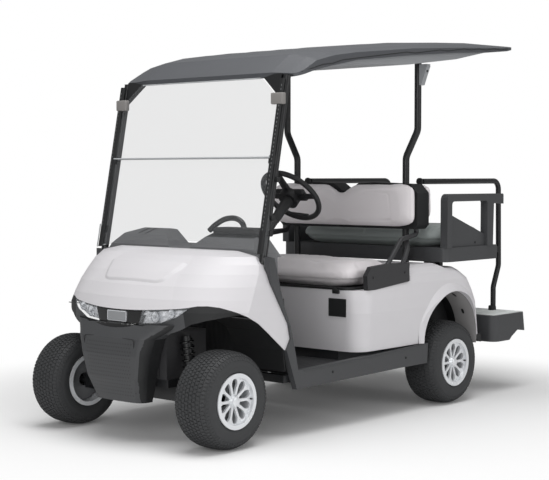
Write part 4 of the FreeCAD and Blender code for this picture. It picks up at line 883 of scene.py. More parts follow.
@dataclass
class Seats:
    """The front bench and its backrest, the rear bench and its backrest.

    Attributes:
        notch_half: half the width of the notch in a backrest's top.
        notch_depth: depth of the notch.
        place_x: distance of each place from the middle.
        dish: depth of the dip in each place.
        roll: how far the cushion's front edge rolls down.
        cushion_side: below this height a point is on the front cushion's side.
        cushion_cord: height of the sewn line round the front cushion.
        cushion_back: that line ends here.
        rear_side: below this height a point is on the rear cushion's side.
        rear_cord: height of the sewn line round the rear cushion.
        back_depth: thickness of the front backrest.
        rear_depth: thickness of the rear backrest.
        middle_weight: keeps the sewn line between the places narrow.
    """
    notch_half: float = 0.075
    notch_depth: float = 0.045
    place_x: float = 0.25
    dish: float = 0.012
    roll: float = 0.03
    cushion_side: float = 0.70
    cushion_cord: float = 0.684
    cushion_back: float = 0.19
    rear_side: float = 0.875
    rear_cord: float = 0.852
    back_depth: float = 0.072
    rear_depth: float = 0.058
    middle_weight: float = 1.2

    def cushion_form(self, placed: Vector, unit: Vector) -> Vector:
        """A front edge that rolls down, and a slightly dished middle of each place.

        Args:
            placed: a point of the plain pad.
            unit: the same point on a pad from -1 to 1 each way.

        Returns:
            The point in the cushion's form.
        """
        top = max(unit.z, 0.0)
        for_place = math.exp(-((abs(placed.x) - self.place_x) / 0.16) ** 2)
        forward = max(0.0, -unit.y)
        drop = top * (self.dish * for_place + self.roll * forward ** 3
                      + 0.008 * max(0.0, unit.y) ** 2)
        drop += 0.006 * top * math.exp(-(placed.x / 0.03) ** 2)
        return placed - Vector((0, 0, drop))

    def back_form(self, placed: Vector, unit: Vector) -> Vector:
        """Two lobes with a notch between them and sloped outer shoulders.

        Args:
            placed: a point of the plain pad.
            unit: the same point on a pad from -1 to 1 each way.

        Returns:
            The point in the backrest's form.
        """
        high, low = max(unit.z, 0.0), max(-unit.z, 0.0)
        across = abs(placed.x)
        notch = self.notch_depth / (1 + math.exp((across - self.notch_half * 0.8) / 0.012))
        fall = high ** 2 * (notch + 0.02 * max(0.0, (across - 0.33) / 0.16) ** 2)
        lift = low ** 2 * 0.012 * max(0.0, (across - 0.36) / 0.13) ** 2
        pull = 0.006 * math.exp(-(placed.x / 0.04) ** 2) * (1 if unit.y < 0 else -1)
        return placed + Vector((0, pull, lift - fall))

    def cushion_seams(self, at: Vector) -> float:
        """Sewn lines of the front cushion: a curved panel on each place and the border.

        Args:
            at: a point of the cover.

        Returns:
            Distance to the nearest line.
        """
        if at.z < self.cushion_side:
            return abs(at.z - self.cushion_cord) if at.y < self.cushion_back else FAR
        side = abs(at.x)
        return min(from_line(side, at.y, CUSHION_ARCH), from_line(side, at.y, CUSHION_INNER),
                   side * self.middle_weight)

    def back_seams(self, at: Vector) -> float:
        """Distance to the sewn line of a backrest, a panel on each lobe."""
        return from_line(abs(at.x), at.z, BACK_PANEL)

    def rear_seams(self, at: Vector) -> float:
        """Sewn lines of the rear cushion: two panels across and the border.

        Args:
            at: a point of the cover.

        Returns:
            Distance to the nearest line.
        """
        if at.z < self.rear_side:
            return abs(at.z - self.rear_cord)
        side = abs(at.x)
        return min(side * self.middle_weight, from_line(side, at.y, REAR_PANEL))

    def build(self) -> None:
        """Makes the four pads."""
        low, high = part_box("front_cushion")
        Pad("front_seat_cushion", "front_cushion", low, high, "seat_lid", SEAT_VINYL,
            self.cushion_form, self.cushion_seams, corner=7.0).build()
        low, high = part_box("backrests")
        front_high = Vector((high.x, low.y + self.back_depth, high.z))
        rear_low = Vector((low.x + 0.016, high.y - self.rear_depth, low.z + 0.024))
        rear_high = Vector((high.x - 0.016, high.y, high.z - 0.004))
        for name, node, foot, head in (("front_seat_backrest", "backrests", low, front_high),
                                       ("rear_seat_backrest", None, rear_low, rear_high)):
            Pad(name, node, foot, head, "vehicle", SEAT_VINYL, self.back_form, self.back_seams,
                corner=9.0, edge=4.0, upright=True, swell=0.012).build()
        low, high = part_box("rear_cushion")
        Pad("rear_seat_cushion", "rear_cushion", low, high, "vehicle", REAR_VINYL,
            lambda placed, unit: placed, self.rear_seams, corner=7.0).build()


# ---------------------------------------------------------------- pieces laid on the mouldings
def patch(node: str, ray: Callable[[float, float], tuple[Point, Point]],
          lift: Callable[[float, float], float], across: int, along: int) -> Geometry:
    """A skin that follows a CAD node's surface at a varying height.

    Args:
        node: the node that it lies on.
        ray: origin and direction of the ray for two shares from 0 to 1.
        lift: height over the surface in metres for the same shares.
        across: number of cells for the first share.
        along: number of cells for the second share.

    Returns:
        Points and faces, with no cell where a ray misses.
    """
    points, faces, found = [], [], {}
    for i in range(across + 1):
        for j in range(along + 1):
            s, t = i / across, j / along
            origin, direction = ray(s, t)
            met = on_surface(node, origin, direction)
            if met:
                place, normal = met
                if normal.dot(Vector(direction)) > 0:
                    normal = -normal
                found[i, j] = len(points)
                points.append(place + normal * lift(s, t))
    for i in range(across):
        for j in range(along):
            ring = [(i, j), (i + 1, j), (i + 1, j + 1), (i, j + 1)]
            if all(cell in found for cell in ring):
                faces.append([found[cell] for cell in ring])
    return points, faces


def border(s: float, t: float, width: float, length: float, soft: float, corner: float) -> float:
    """0 at the edge of a rounded rectangle and 1 further in than the soft edge.

    Args:
        s: share of the width.
        t: share of the length.
        width: width in metres.
        length: length in metres.
        soft: width of the rising edge.
        corner: radius of its corners.

    Returns:
        A share from 0 to 1.
    """
    u = abs(s - 0.5) * width - (width / 2 - corner)
    v = abs(t - 0.5) * length - (length / 2 - corner)
    inside = corner - math.hypot(max(u, 0.0), max(v, 0.0))
    if u < 0 and v < 0:
        inside = corner - max(u, v)
    share = min(max(inside / soft, 0.0), 1.0)
    return share * share * (3 - 2 * share)


# Where a bowl's section has its points, as shares of its radius.
BOWL_SHARES = (1.0, 0.8, 0.6, 0.4, 0.22, 0.02)
# A bulb's section: distance along its axis and radius.
BULB_SECTION: Section = [(0.002, 0.0001), (0.0005, 0.004), (-0.003, 0.0058), (-0.0075, 0.005),
                         (-0.0095, 0.0001)]
# Foot of the left lamp's window: distance from the middle and height.
LAMP_FOOT: Section = [(0.128, 0.537), (0.24, 0.543), (0.33, 0.577), (0.385, 0.624)]


@dataclass
class Nose:
    """What dresses the cowl and the bumper: hood panel, centre band, lamps and dimpled panel.

    Attributes:
        panel_low: half width and height of the hood panel's foot.
        panel_high: half width and height of its head.
        panel_size: width and length that its soft edge is worked out on.
        panel_rise: how far it stands over the hood.
        panel_shoulder: width of its soft edge.
        panel_corner: radius of its corners.
        tuck: how far its edge goes down into the hood.
        band_half: half the width of the centre band's foot.
        band_flare: how much wider its head is.
        band_foot: height of its foot.
        band_tall: its height.
        facet_cells: facets across and up one lamp.
        facet_sink: least and most depth of a facet's corners behind the lens.
        bowls: distance from the middle, height and radius of a lamp's two bowls.
        bowl_sink: depth of a bowl's rim behind the lens.
        dots_half: half the width of the dimpled panel's foot.
        dots_flare: how much wider its head is, each side.
        dots_foot: height of its foot.
        dots_tall: its height.
        dot_pitch: distance between dimples.
        dot_radius: a dimple's radius.
        dot_lift: height of a dimple's disc over the bumper.
        seam: radius of the bead round the panel.
    """
    panel_low: tuple[float, float] = (0.196, 0.69)
    panel_high: tuple[float, float] = (0.262, 0.835)
    panel_size: tuple[float, float] = (0.42, 0.25)
    panel_rise: float = 0.0075
    panel_shoulder: float = 0.03
    panel_corner: float = 0.06
    tuck: float = 0.0006
    band_half: float = 0.127
    band_flare: float = 0.042
    band_foot: float = 0.5175
    band_tall: float = 0.0795
    facet_cells: tuple[int, int] = (16, 6)
    facet_sink: tuple[float, float] = (0.0125, 0.0175)
    bowls: tuple[Point, ...] = ((0.212, 0.572, 0.023), (0.292, 0.59, 0.0185))
    bowl_sink: float = 0.0125
    dots_half: float = 0.131
    dots_flare: float = 0.029
    dots_foot: float = 0.2
    dots_tall: float = 0.268
    dot_pitch: float = 0.0155
    dot_radius: float = 0.0036
    dot_lift: float = 0.0004
    seam: float = 0.0016

    def hood_ray(self, s: float, t: float) -> tuple[Point, Point]:
        """A ray down onto the hood for the raised panel's grid.

        Args:
            s: share of the panel's width.
            t: share of its length.

        Returns:
            The ray's start and direction.
        """
        half = self.panel_low[0] + (self.panel_high[0] - self.panel_low[0]) * t
        z = self.panel_low[1] + (self.panel_high[1] - self.panel_low[1]) * t
        return (half * (2 * s - 1), AHEAD_Y, z + 0.25), (0.0, 0.8, -0.42)

    def hood(self) -> None:
        """The raised middle of the hood, with soft shoulders."""
        def rise(s: float, t: float) -> float:
            """Height over the hood, with no edge at the panel's head.

            Args:
                s: share of the panel's width.
                t: share of its length.

            Returns:
                The height.
            """
            edge = border(s, min(t, 0.5), *self.panel_size, self.panel_shoulder,
                          self.panel_corner)
            return self.panel_rise * edge - self.tuck * (1 - edge)
        add_piece("hood_panel", *patch("front_cowl", self.hood_ray, rise, 72, 40), BODY_WHITE,
                  "vehicle", ROLLED)

    def band(self) -> None:
        """The polished black panel between the lamps, with slanted ends."""
        def ray(s: float, t: float) -> tuple[Point, Point]:
            """A level ray at the band, whose head and foot curve up to the sides.

            Args:
                s: share of the band's width.
                t: share of its height.

            Returns:
                The ray's start and direction.
            """
            half = self.band_half + self.band_flare * t
            x = half * (2 * s - 1)
            head_lift, foot_lift = 0.004 * (x / 0.17) ** 2, (1 - t) * 0.014 * (x / 0.13) ** 2
            z = self.band_foot + t * (self.band_tall + head_lift) + foot_lift
            return (x, AHEAD_Y, z), BACKWARD

        def rise(s: float, t: float) -> float:
            """Height over the bumper."""
            return 0.0012 * border(s, t, 0.3, 0.08, 0.003, 0.006) - 0.0003
        add_piece("nose_centre_band", *patch("front_bumper", ray, rise, 60, 18), GLOSS_BLACK,
                  "vehicle", ROLLED)
        low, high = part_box("badge_plate")
        frame_bar = []
        for z in (low.z - 0.001, high.z + 0.001):
            frame_bar.append(rounded_block((low.x - 0.003, low.y - 0.0005, z - 0.002),
                                           (high.x + 0.003, low.y + 0.005, z + 0.002), 0.0009, 2))
        for x in (low.x - 0.001, high.x + 0.001):
            frame_bar.append(rounded_block((x - 0.002, low.y - 0.0005, low.z - 0.003),
                                           (x + 0.002, low.y + 0.005, high.z + 0.003), 0.0009, 2))
        add_piece("badge_plate_rim", *merged(frame_bar), CHROME, "vehicle")

    def lamp_edge(self, x: float) -> tuple[float, float]:
        """The foot and head of the left lamp's window.

        Args:
            x: distance from the middle.

        Returns:
            Its lowest and highest point there.
        """
        for (x0, z0), (x1, z1) in zip(LAMP_FOOT, LAMP_FOOT[1:]):
            if x <= x1:
                return z0 + (z1 - z0) * (x - x0) / (x1 - x0), 0.6 + 0.02 * (x - 0.15) / 0.24
        return 0.622, 0.624

    def lamps(self) -> None:
        """Facetted reflectors, round bowls and bulbs behind the clear lenses."""
        facets, bowls, bulbs, rings = [], [], [], []
        across, up = self.facet_cells
        for sign in (-1, 1):
            chance = random.Random(7 + sign)
            steps = [[chance.uniform(*self.facet_sink) for _ in range(up + 1)]
                     for _ in range(across + 1)]

            def ray(s: float, t: float, sign: int = sign) -> tuple[Point, Point]:
                """A level ray at the lamp's window.

                Args:
                    s: share of the window's width, outwards.
                    t: share of its height.
                    sign: +1 for the left lamp.

                Returns:
                    The ray's start and direction.
                """
                x = 0.136 + 0.245 * s
                low, high = self.lamp_edge(x)
                x += 0.03 * (t - 0.3) * (1 - s)
                return (sign * x, AHEAD_Y, low + 0.003 + (high - low - 0.006) * t), BACKWARD

            def sink(s: float, t: float, steps: list = steps) -> float:
                """Depth of a facet's corner behind the lens, as a height."""
                return -steps[round(s * across)][round(t * up)]
            facets.append(patch("headlights", ray, sink, across, up))
            for x, z, radius in self.bowls:
                met = on_surface("headlights", (sign * x, AHEAD_Y, z), BACKWARD)
                if not met:
                    continue
                seat = met[0] + Vector((0, self.bowl_sink, 0))
                bowls.append(lathe([(0.0062 * q * q - 0.006, radius * q) for q in BOWL_SHARES],
                                   seat, "Y", 28, True))
                rings.append(lathe([(0, radius), (-0.0035, radius * 1.02),
                                    (-0.0035, radius * 1.1), (0, radius * 1.12)], seat, "Y", 28))
                bulbs.append(lathe(BULB_SECTION, seat, "Y", 14))
        add_piece("lamp_reflectors", *merged(facets), CHROME, "vehicle", FACETED)
        add_piece("lamp_bowls", *merged(bowls), CHROME, "vehicle", ROUNDED)
        add_piece("lamp_bowl_rims", *merged(rings), BADGE_METAL, "vehicle")
        add_piece("lamp_bulbs", *merged(bulbs), BADGE_METAL, "vehicle", ROLLED)

    def panel_place(self, s: float, t: float) -> tuple[Vector, Vector] | None:
        """A place on the bumper's dimpled panel.

        Args:
            s: share of the panel's width.
            t: share of its height.

        Returns:
            The place and the surface's normal, or None off the bumper.
        """
        half, z = self.dots_half + self.dots_flare * t, self.dots_foot + self.dots_tall * t
        return on_surface("front_bumper", (half * (2 * s - 1), FAR_AHEAD_Y, z), BACKWARD)

    def dimples(self) -> None:
        """Rows of small round dimples, drawn as flat darker discs whose colour is painted shade,
        and a little coarser than real so that they show.
        """
        parts, rows = [], round(0.25 / self.dot_pitch)
        for row in range(1, rows):
            t = row / rows
            count = round((0.262 + 0.058 * t) / self.dot_pitch)
            for step in range(1, count):
                met = self.panel_place((step + 0.5 * (row % 2) - 0.25) / count, t)
                if not met:
                    continue
                place, normal = met
                if normal.y > 0:
                    normal = -normal
                turn = Vector((0, 0, 1)).rotation_difference(normal).to_matrix()
                ring = [place + turn @ Vector((self.dot_radius * math.cos(a),
                                               self.dot_radius * math.sin(a),
                                               self.dot_lift))
                        for a in (2 * math.pi * k / 8 for k in range(8))]
                parts.append((ring, [list(range(8))]))
        add_piece("bumper_dimple_shade_discs", *merged(parts), COVER_BLACK, "vehicle")
        run = []
        corner = 0.12
        for s, t in ((0, 0.1), (0, 1 - corner), (0.02, 0.97), (corner, 1), (1 - corner, 1),
                     (0.98, 0.97), (1, 1 - corner), (1, 0.1)):
            met = self.panel_place(-0.02 + 1.04 * s, min(t * 1.03, 1.03))
            if met:
                run.append(met[0] - Vector((0, 0.0002, 0)))
        path = smooth_path(run, 10)
        add_piece("bumper_panel_seam", *swept(path, self.seam, 8), BLACK_TRIM, "vehicle")

    def side_recess(self) -> None:
        """Black baffles behind the bumper's edges, ahead of the frame's nose cover: painted shade
        in the gaps.
        """
        wall = rounded_block((0.1, -1.2, 0.3), (0.118, -1.188, 0.5), 0.002, 1)
        screen = rounded_block((0.11, -1.194, 0.295), (0.2, -1.1865, 0.498), 0.002, 1)
        add_piece("bumper_shade_baffles", *both_sides(merged([wall, screen])), BLACK_TRIM, "vehicle")

    def build(self) -> None:
        """Dresses the nose."""
        self.hood()
        self.band()
        self.lamps()
        self.dimples()
        self.side_recess()
        # The bumper's side faces and its wings take the near-black finish as painted shade.
        repaint("front_bumper", BLACK_TRIM,
                lambda centre, normal: abs(normal.x) > 0.62 and centre.y > -1.3
                or abs(centre.x) > 0.36 and centre.z > 0.5)


@dataclass
class Suspension:
    """Springs and spring cups on the front dampers, and the rear fenders' inner walls.

    Attributes:
        turns: turns of a spring.
        coil: radius of a spring.
        wire: radius of its wire.
        wall_centre: middle of a rear fender's arch, as y and z.
        wall_radius: radius of the inner wall.
        wall_rows: distances from the middle of the wall's rows of points.
        slots: angle, distance from the middle and half length in degrees of the wall's slots.
    """
    turns: float = 7.5
    coil: float = 0.029
    wire: float = 0.0042
    wall_centre: tuple[float, float] = (0.573, 0.342)
    wall_radius: float = 0.2505
    wall_rows: tuple[float, ...] = (0.436, 0.45, 0.47, 0.5, 0.53, 0.56, 0.5655)
    slots: tuple[Point, ...] = ((84, 0.505, 2.2), (62, 0.51, 5.0), (30, 0.5, 3.5))

    def coils(self) -> None:
        """A coil spring on each front damper."""
        foot, head = Vector((0.3, FRONT_AXLE_Y, 0.275)), Vector((0.2685, FRONT_AXLE_Y, 0.472))
        path, steps = [], 180
        for step in range(steps + 1):
            share = step / steps
            angle = 2 * math.pi * self.turns * share
            path.append(foot.lerp(head, share) + Vector((self.coil * math.cos(angle),
                                                         self.coil * math.sin(angle), 0)))
        cup = rounded_block((0.262, FRONT_AXLE_Y - 0.034, 0.268),
                            (0.336, FRONT_AXLE_Y + 0.034, 0.277), 0.003, 1)
        add_piece("damper_springs", *both_sides(swept(path, self.wire, 8)), GLOSS_BLACK,
                  "vehicle", ROLLED)
        add_piece("damper_cups", *both_sides(cup), BLACK_STEEL, "vehicle")

    def inner_wall(self) -> None:
        """The inner wall of each rear fender, pale grey as painted shade, with its slots."""
        centre, radius, rows = Vector((0, *self.wall_centre)), self.wall_radius, self.wall_rows
        points, faces, slots, steps = [], [], [], 40
        for step in range(steps + 1):
            angle = math.radians(-10 + 190 * step / steps)
            for x in rows:
                points.append(centre + Vector((x, radius * math.cos(angle),
                                               radius * math.sin(angle))))
        for step in range(steps):
            for row in range(len(rows) - 1):
                a = step * len(rows) + row
                faces.append([a, a + len(rows), a + len(rows) + 1, a + 1])
        for degrees, x, reach in self.slots:
            ring = []
            for u, v in ((-1, -0.6), (-1, 0.6), (-0.5, 1), (0.5, 1), (1, 0.6), (1, -0.6),
                         (0.5, -1), (-0.5, -1)):
                angle = math.radians(degrees + reach * u)
                ring.append(centre + Vector((x + 0.008 * v, (radius - 0.0012) * math.cos(angle),
                                             (radius - 0.0012) * math.sin(angle))))
            slots.append((ring, [list(range(8))]))
        add_piece("fender_inner_wall", *both_sides((points, faces)), INNER_WALL, "vehicle",
                  ROLLED)
        add_piece("fender_wall_slots", *both_sides(merged(slots)), BLACK_TRIM, "vehicle")

    def build(self) -> None:
        """Makes the springs and the inner walls."""
        self.coils()
        self.inner_wall()


# Turned sections in the cab: distance along the axis and radius.
KNOB_SECTION: Section = [(0, 0.0085), (0.006, 0.0085), (0.0065, 0.0125), (0.016, 0.0125),
                         (0.018, 0.0105), (0.018, 0.0001)]
KEY_SECTION: Section = [(0, 0.013), (0.006, 0.013), (0.007, 0.011), (0.007, 0.0001)]
HUB_SECTION: Section = [(-0.03, 0.034), (-0.014, 0.046), (0.0, 0.048), (0.006, 0.0001)]
COLLAR_SECTION: Section = [(-0.17, 0.0212), (-0.165, 0.0235), (-0.1, 0.0245), (-0.05, 0.028),
                           (-0.034, 0.031), (-0.034, 0.02)]


@dataclass
class Cab:
    """The pillars' strips and clamps, the screen's fold, the dash, the wheel and the pedals.

    Attributes:
        foot_y: y of the pillars' line at foot_z.
        foot_z: height where that line starts.
        lean: how far the pillars lean back, in radians.
        pillar_x: distance of a pillar from the middle.
        fold: height of the fold between the panes.
        knobs: heights of a pillar's knobs.
        clamp: height of its clamp.
        slots: slots in its track.
        slot_foot: height of the lowest slot.
        slot_pitch: distance between slots.
        wheel_place: the steering wheel's centre.
        wheel_lean: how far the wheel leans, in radians.
        binnacle_z: the dash over this height is black on the driver's side.
        dials: distance to the left and radius of the round bezels on the dash.
        dial_z: their height.
        pedal_sides: distance to the left of each pedal.
        pedal_ribs: ribs on a pedal.
    """
    foot_y: float = -0.864
    foot_z: float = 0.8
    lean: float = math.radians(11.3)
    pillar_x: float = 0.527
    fold: float = 1.274
    knobs: tuple[float, ...] = (0.938, 1.008, 1.18)
    clamp: float = 1.54
    slots: int = 36
    slot_foot: float = 0.95
    slot_pitch: float = 0.0185
    wheel_place: Point = (0.28, -0.379, 1.1)
    wheel_lean: float = math.radians(46)
    binnacle_z: float = 0.914
    dials: tuple[tuple[float, float], ...] = ((0.08, 0.026), (-0.4, 0.036), (-0.3, 0.036),
                                              (0.41, 0.036))
    dial_z: float = 0.80
    pedal_sides: tuple[float, float] = (0.07, 0.19)
    pedal_ribs: int = 8

    def at(self, x: float, height: float, out: float) -> Vector:
        """A point in the pillars' leaning plane.

        Args:
            x: distance from the middle.
            height: height over the ground on the pillars' line.
            out: distance ahead of the pillars' line.

        Returns:
            The point.
        """
        along = (height - self.foot_z) / math.cos(self.lean)
        return Vector((x, self.foot_y + along * math.sin(self.lean) - out * math.cos(self.lean),
                       height + out * math.sin(self.lean)))

    def screen(self) -> None:
        """The hinge strip at the fold, the panes' edges and the strips beside the pillars."""
        strip = []
        for side in (0.0295, 0.0165):
            path = [self.at(x, self.fold, side) for x in (-0.518, -0.26, 0, 0.26, 0.518)]
            strip.append(swept(path, 0.008, 10, 0.45))
        add_piece("screen_hinge_strip", *merged(strip), HINGE_STRIP, "vehicle")
        foot = [(-0.5, 0.853), (-0.5585, 0.843), (-0.5585, 0.952)]
        head = [(-0.39, 1.637), (0.39, 1.637)]
        bars = [swept([self.at(x, z, 0.0245) for x, z in run], 0.0028, 8) for run in (foot, head)]
        add_piece("screen_edge_trim", *merged(bars), HINGE_STRIP, "vehicle")

    def pillars(self) -> None:
        """A slotted strip down each pillar, its knobs and the clamp at its head.

        The slots are raised marks, because the strip is too thin to cut.
        """
        track = swept([self.at(self.pillar_x + 0.002, z, 0.0305) for z in (0.842, 1.3, 1.63)],
                      0.015, 8, 0.28)
        ticks = []
        for step in range(self.slots):
            z = self.slot_foot + step * self.slot_pitch
            middle = self.at(self.pillar_x + 0.004, z, 0.0343)
            ticks.append(rounded_block(middle - Vector((0.0022, 0.001, 0.0048)),
                                       middle + Vector((0.0022, 0.001, 0.0048)), 0.0008, 1))
        knobs = []
        for height in self.knobs:
            hub = self.at(self.pillar_x + 0.0165, height, 0.002)
            knobs.append(lathe(KNOB_SECTION, hub, "X", 20))
        low = self.at(self.pillar_x - 0.047, self.clamp - 0.027, 0.03)
        high = self.at(self.pillar_x + 0.024, self.clamp + 0.027, 0.022)
        pad = rounded_block((low.x, min(low.y, high.y) - 0.006, low.z),
                            (high.x, max(low.y, high.y) + 0.004, high.z), 0.006, 3)
        add_piece("pillar_tracks", *both_sides(track), BLACK_TRIM, "vehicle")
        add_piece("pillar_track_slots", *both_sides(merged(ticks)), DASH_GREY, "vehicle")
        add_piece("pillar_knobs", *both_sides(merged(knobs)), BLACK_TRIM, "vehicle")
        add_piece("screen_clamp_pads", *both_sides(pad), CLAMP_PAD, "vehicle")

    def dash(self) -> None:
        """The grab hoop, the black binnacle, bezels, glovebox line, key and vents."""
        hoop = smooth_path([(0.13, -0.79, 0.94), (0.165, -0.785, 0.968), (0.225, -0.785, 0.995),
                            (0.29, -0.785, 1.0), (0.335, -0.785, 0.978), (0.352, -0.785, 0.93)], 8)
        add_piece("grab_hoop", *swept(hoop, 0.013, 14), GLOSS_BLACK, "vehicle", ROLLED)
        repaint("dash", BLACK_TRIM,
                lambda centre, normal: 0.0 < centre.x < 0.44 and centre.z > self.binnacle_z)
        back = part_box("dash")[1].y
        shroud = rounded_block((0.16, back - 0.12, 0.925), (0.43, back - 0.018, 0.957), 0.012, 3)
        add_piece("instrument_binnacle", *shroud, BLACK_TRIM, "vehicle", ROUNDED)
        bezels, dark = [], []
        for x, radius in self.dials:
            met = on_surface("dash", (x, CAB_Y, self.dial_z), FORWARD)
            if met:
                bezels.append(lathe([(0, radius), (0.005, radius), (0.007, radius * 0.94),
                                     (0.002, radius * 0.86), (0, radius * 0.84)], met[0], "Y", 28))
                dark.append(lathe([(0.0012, radius * 0.86), (0.0012, 0.0001)], met[0], "Y", 28))
        door = []
        for s, t in ((0, 0), (0, 1), (1, 1), (1, 0)):
            met = on_surface("dash", (-0.22 + 0.24 * s, CAB_Y, 0.75 + 0.09 * t), FORWARD)
            if met:
                door.append(met[0] + Vector((0, 0.0006, 0)))
        met = on_surface("dash", (0.17, CAB_Y, 0.79), FORWARD)
        key = []
        if met:
            key.append(lathe(KEY_SECTION, met[0], "Y", 20))
            key.append(rounded_block(met[0] + Vector((-0.0015, 0.006, -0.012)),
                                     met[0] + Vector((0.0015, 0.03, 0.012)), 0.001, 1))
        add_piece("dash_bezels", *merged(bezels), BLACK_TRIM, "vehicle")
        # the gloss black discs are the blank gauge's dark glass, and painted shade in the cup
        # recesses
        add_piece("dash_recess_faces", *merged(dark), GLOSS_BLACK, "vehicle")
        add_piece("key_switch", *merged(key), BADGE_METAL, "vehicle")
        if len(door) == 4:
            add_piece("glovebox_line", *swept(door, 0.0014, 6, closed=True), BLACK_TRIM,
                      "vehicle")
        vents, lift = [], Vector((0, 0, 0.0006))
        for x in (-0.335, -0.335 + 4 * 0.012):
            foot = on_surface("dash", (x, -0.81, OVER_DASH_Z), DOWN)
            head = on_surface("dash", (x + 0.028, -0.76, OVER_DASH_Z), DOWN)
            if foot and head:
                vents.append(swept([foot[0] + lift, head[0] + lift], 0.0045, 8, 0.4))
        add_piece("pod_vents", *merged(vents), BLACK_TRIM, "vehicle")

    def steering(self) -> None:
        """The padded hub, the shaped spokes and the column's collar."""
        turn = Matrix.Rotation(-self.wheel_lean, 3, "X")
        hub = Vector(self.wheel_place)

        def placed(geometry: Geometry) -> Geometry:
            """Turns geometry made about the wheel's axis into the wheel's place."""
            return [turn @ p + hub for p in geometry[0]], geometry[1]
        boss = lathe(HUB_SECTION, Vector(), "Z", 40)
        pad = rounded_block((-0.092, -0.034, -0.008), (0.092, 0.034, 0.02), 0.013, 4)
        arms = []
        for hand in (1, -1):
            x0, x1, y = hand * 0.035, hand * 0.15, 0.004
            path = [Vector((x0, y, 0.002)), Vector(((x0 + x1) / 2, y, -0.002)),
                    Vector((x1, y, 0.0))]
            arms.append(swept(path, lambda share: 0.019 * (1 - 0.35 * share), 14, 0.5))
        arms.append(swept([Vector((0, -0.03, 0.0)), Vector((0, -0.09, -0.001)),
                           Vector((0, -0.15, 0))], lambda share: 0.026 - 0.006 * share, 14, 0.42))
        collar = lathe(COLLAR_SECTION, Vector(), "Z", 32)
        add_piece("steering_pad", *placed(merged([boss, pad, *arms])), WHEEL_GRIP,
                  "steering_wheel", ROUNDED)
        add_piece("column_collar", *placed(collar), BLACK_TRIM, "vehicle", ROUNDED)
        stalk = (Vector((0.03, 0.01, -0.1)), Vector((0.09, 0.03, -0.092)),
                 Vector((0.135, 0.045, -0.086)))
        lever = swept([turn @ p + hub for p in stalk], lambda share: 0.0042 + 0.0035 * share, 12)
        add_piece("signal_lever", *lever, BLACK_TRIM, "vehicle", ROLLED)

    def pedals(self) -> None:
        """Rubber ribs on both pedals."""
        ribs = []
        for x in self.pedal_sides:
            for step in range(self.pedal_ribs):
                z = 0.34 + step * 0.0125
                left = on_surface("pedals", (x + 0.008, CAB_Y, z), FORWARD)
                right = on_surface("pedals", (x + 0.062, CAB_Y, z), FORWARD)
                if left and right:
                    ribs.append(swept([left[0], right[0]], 0.0024, 6))
        add_piece("pedal_ribs", *merged(ribs), FLOOR_MAT, "vehicle")

    def build(self) -> None:
        """Dresses the cab."""
        self.screen()
        self.pillars()
        self.dash()
        self.steering()
        self.pedals()


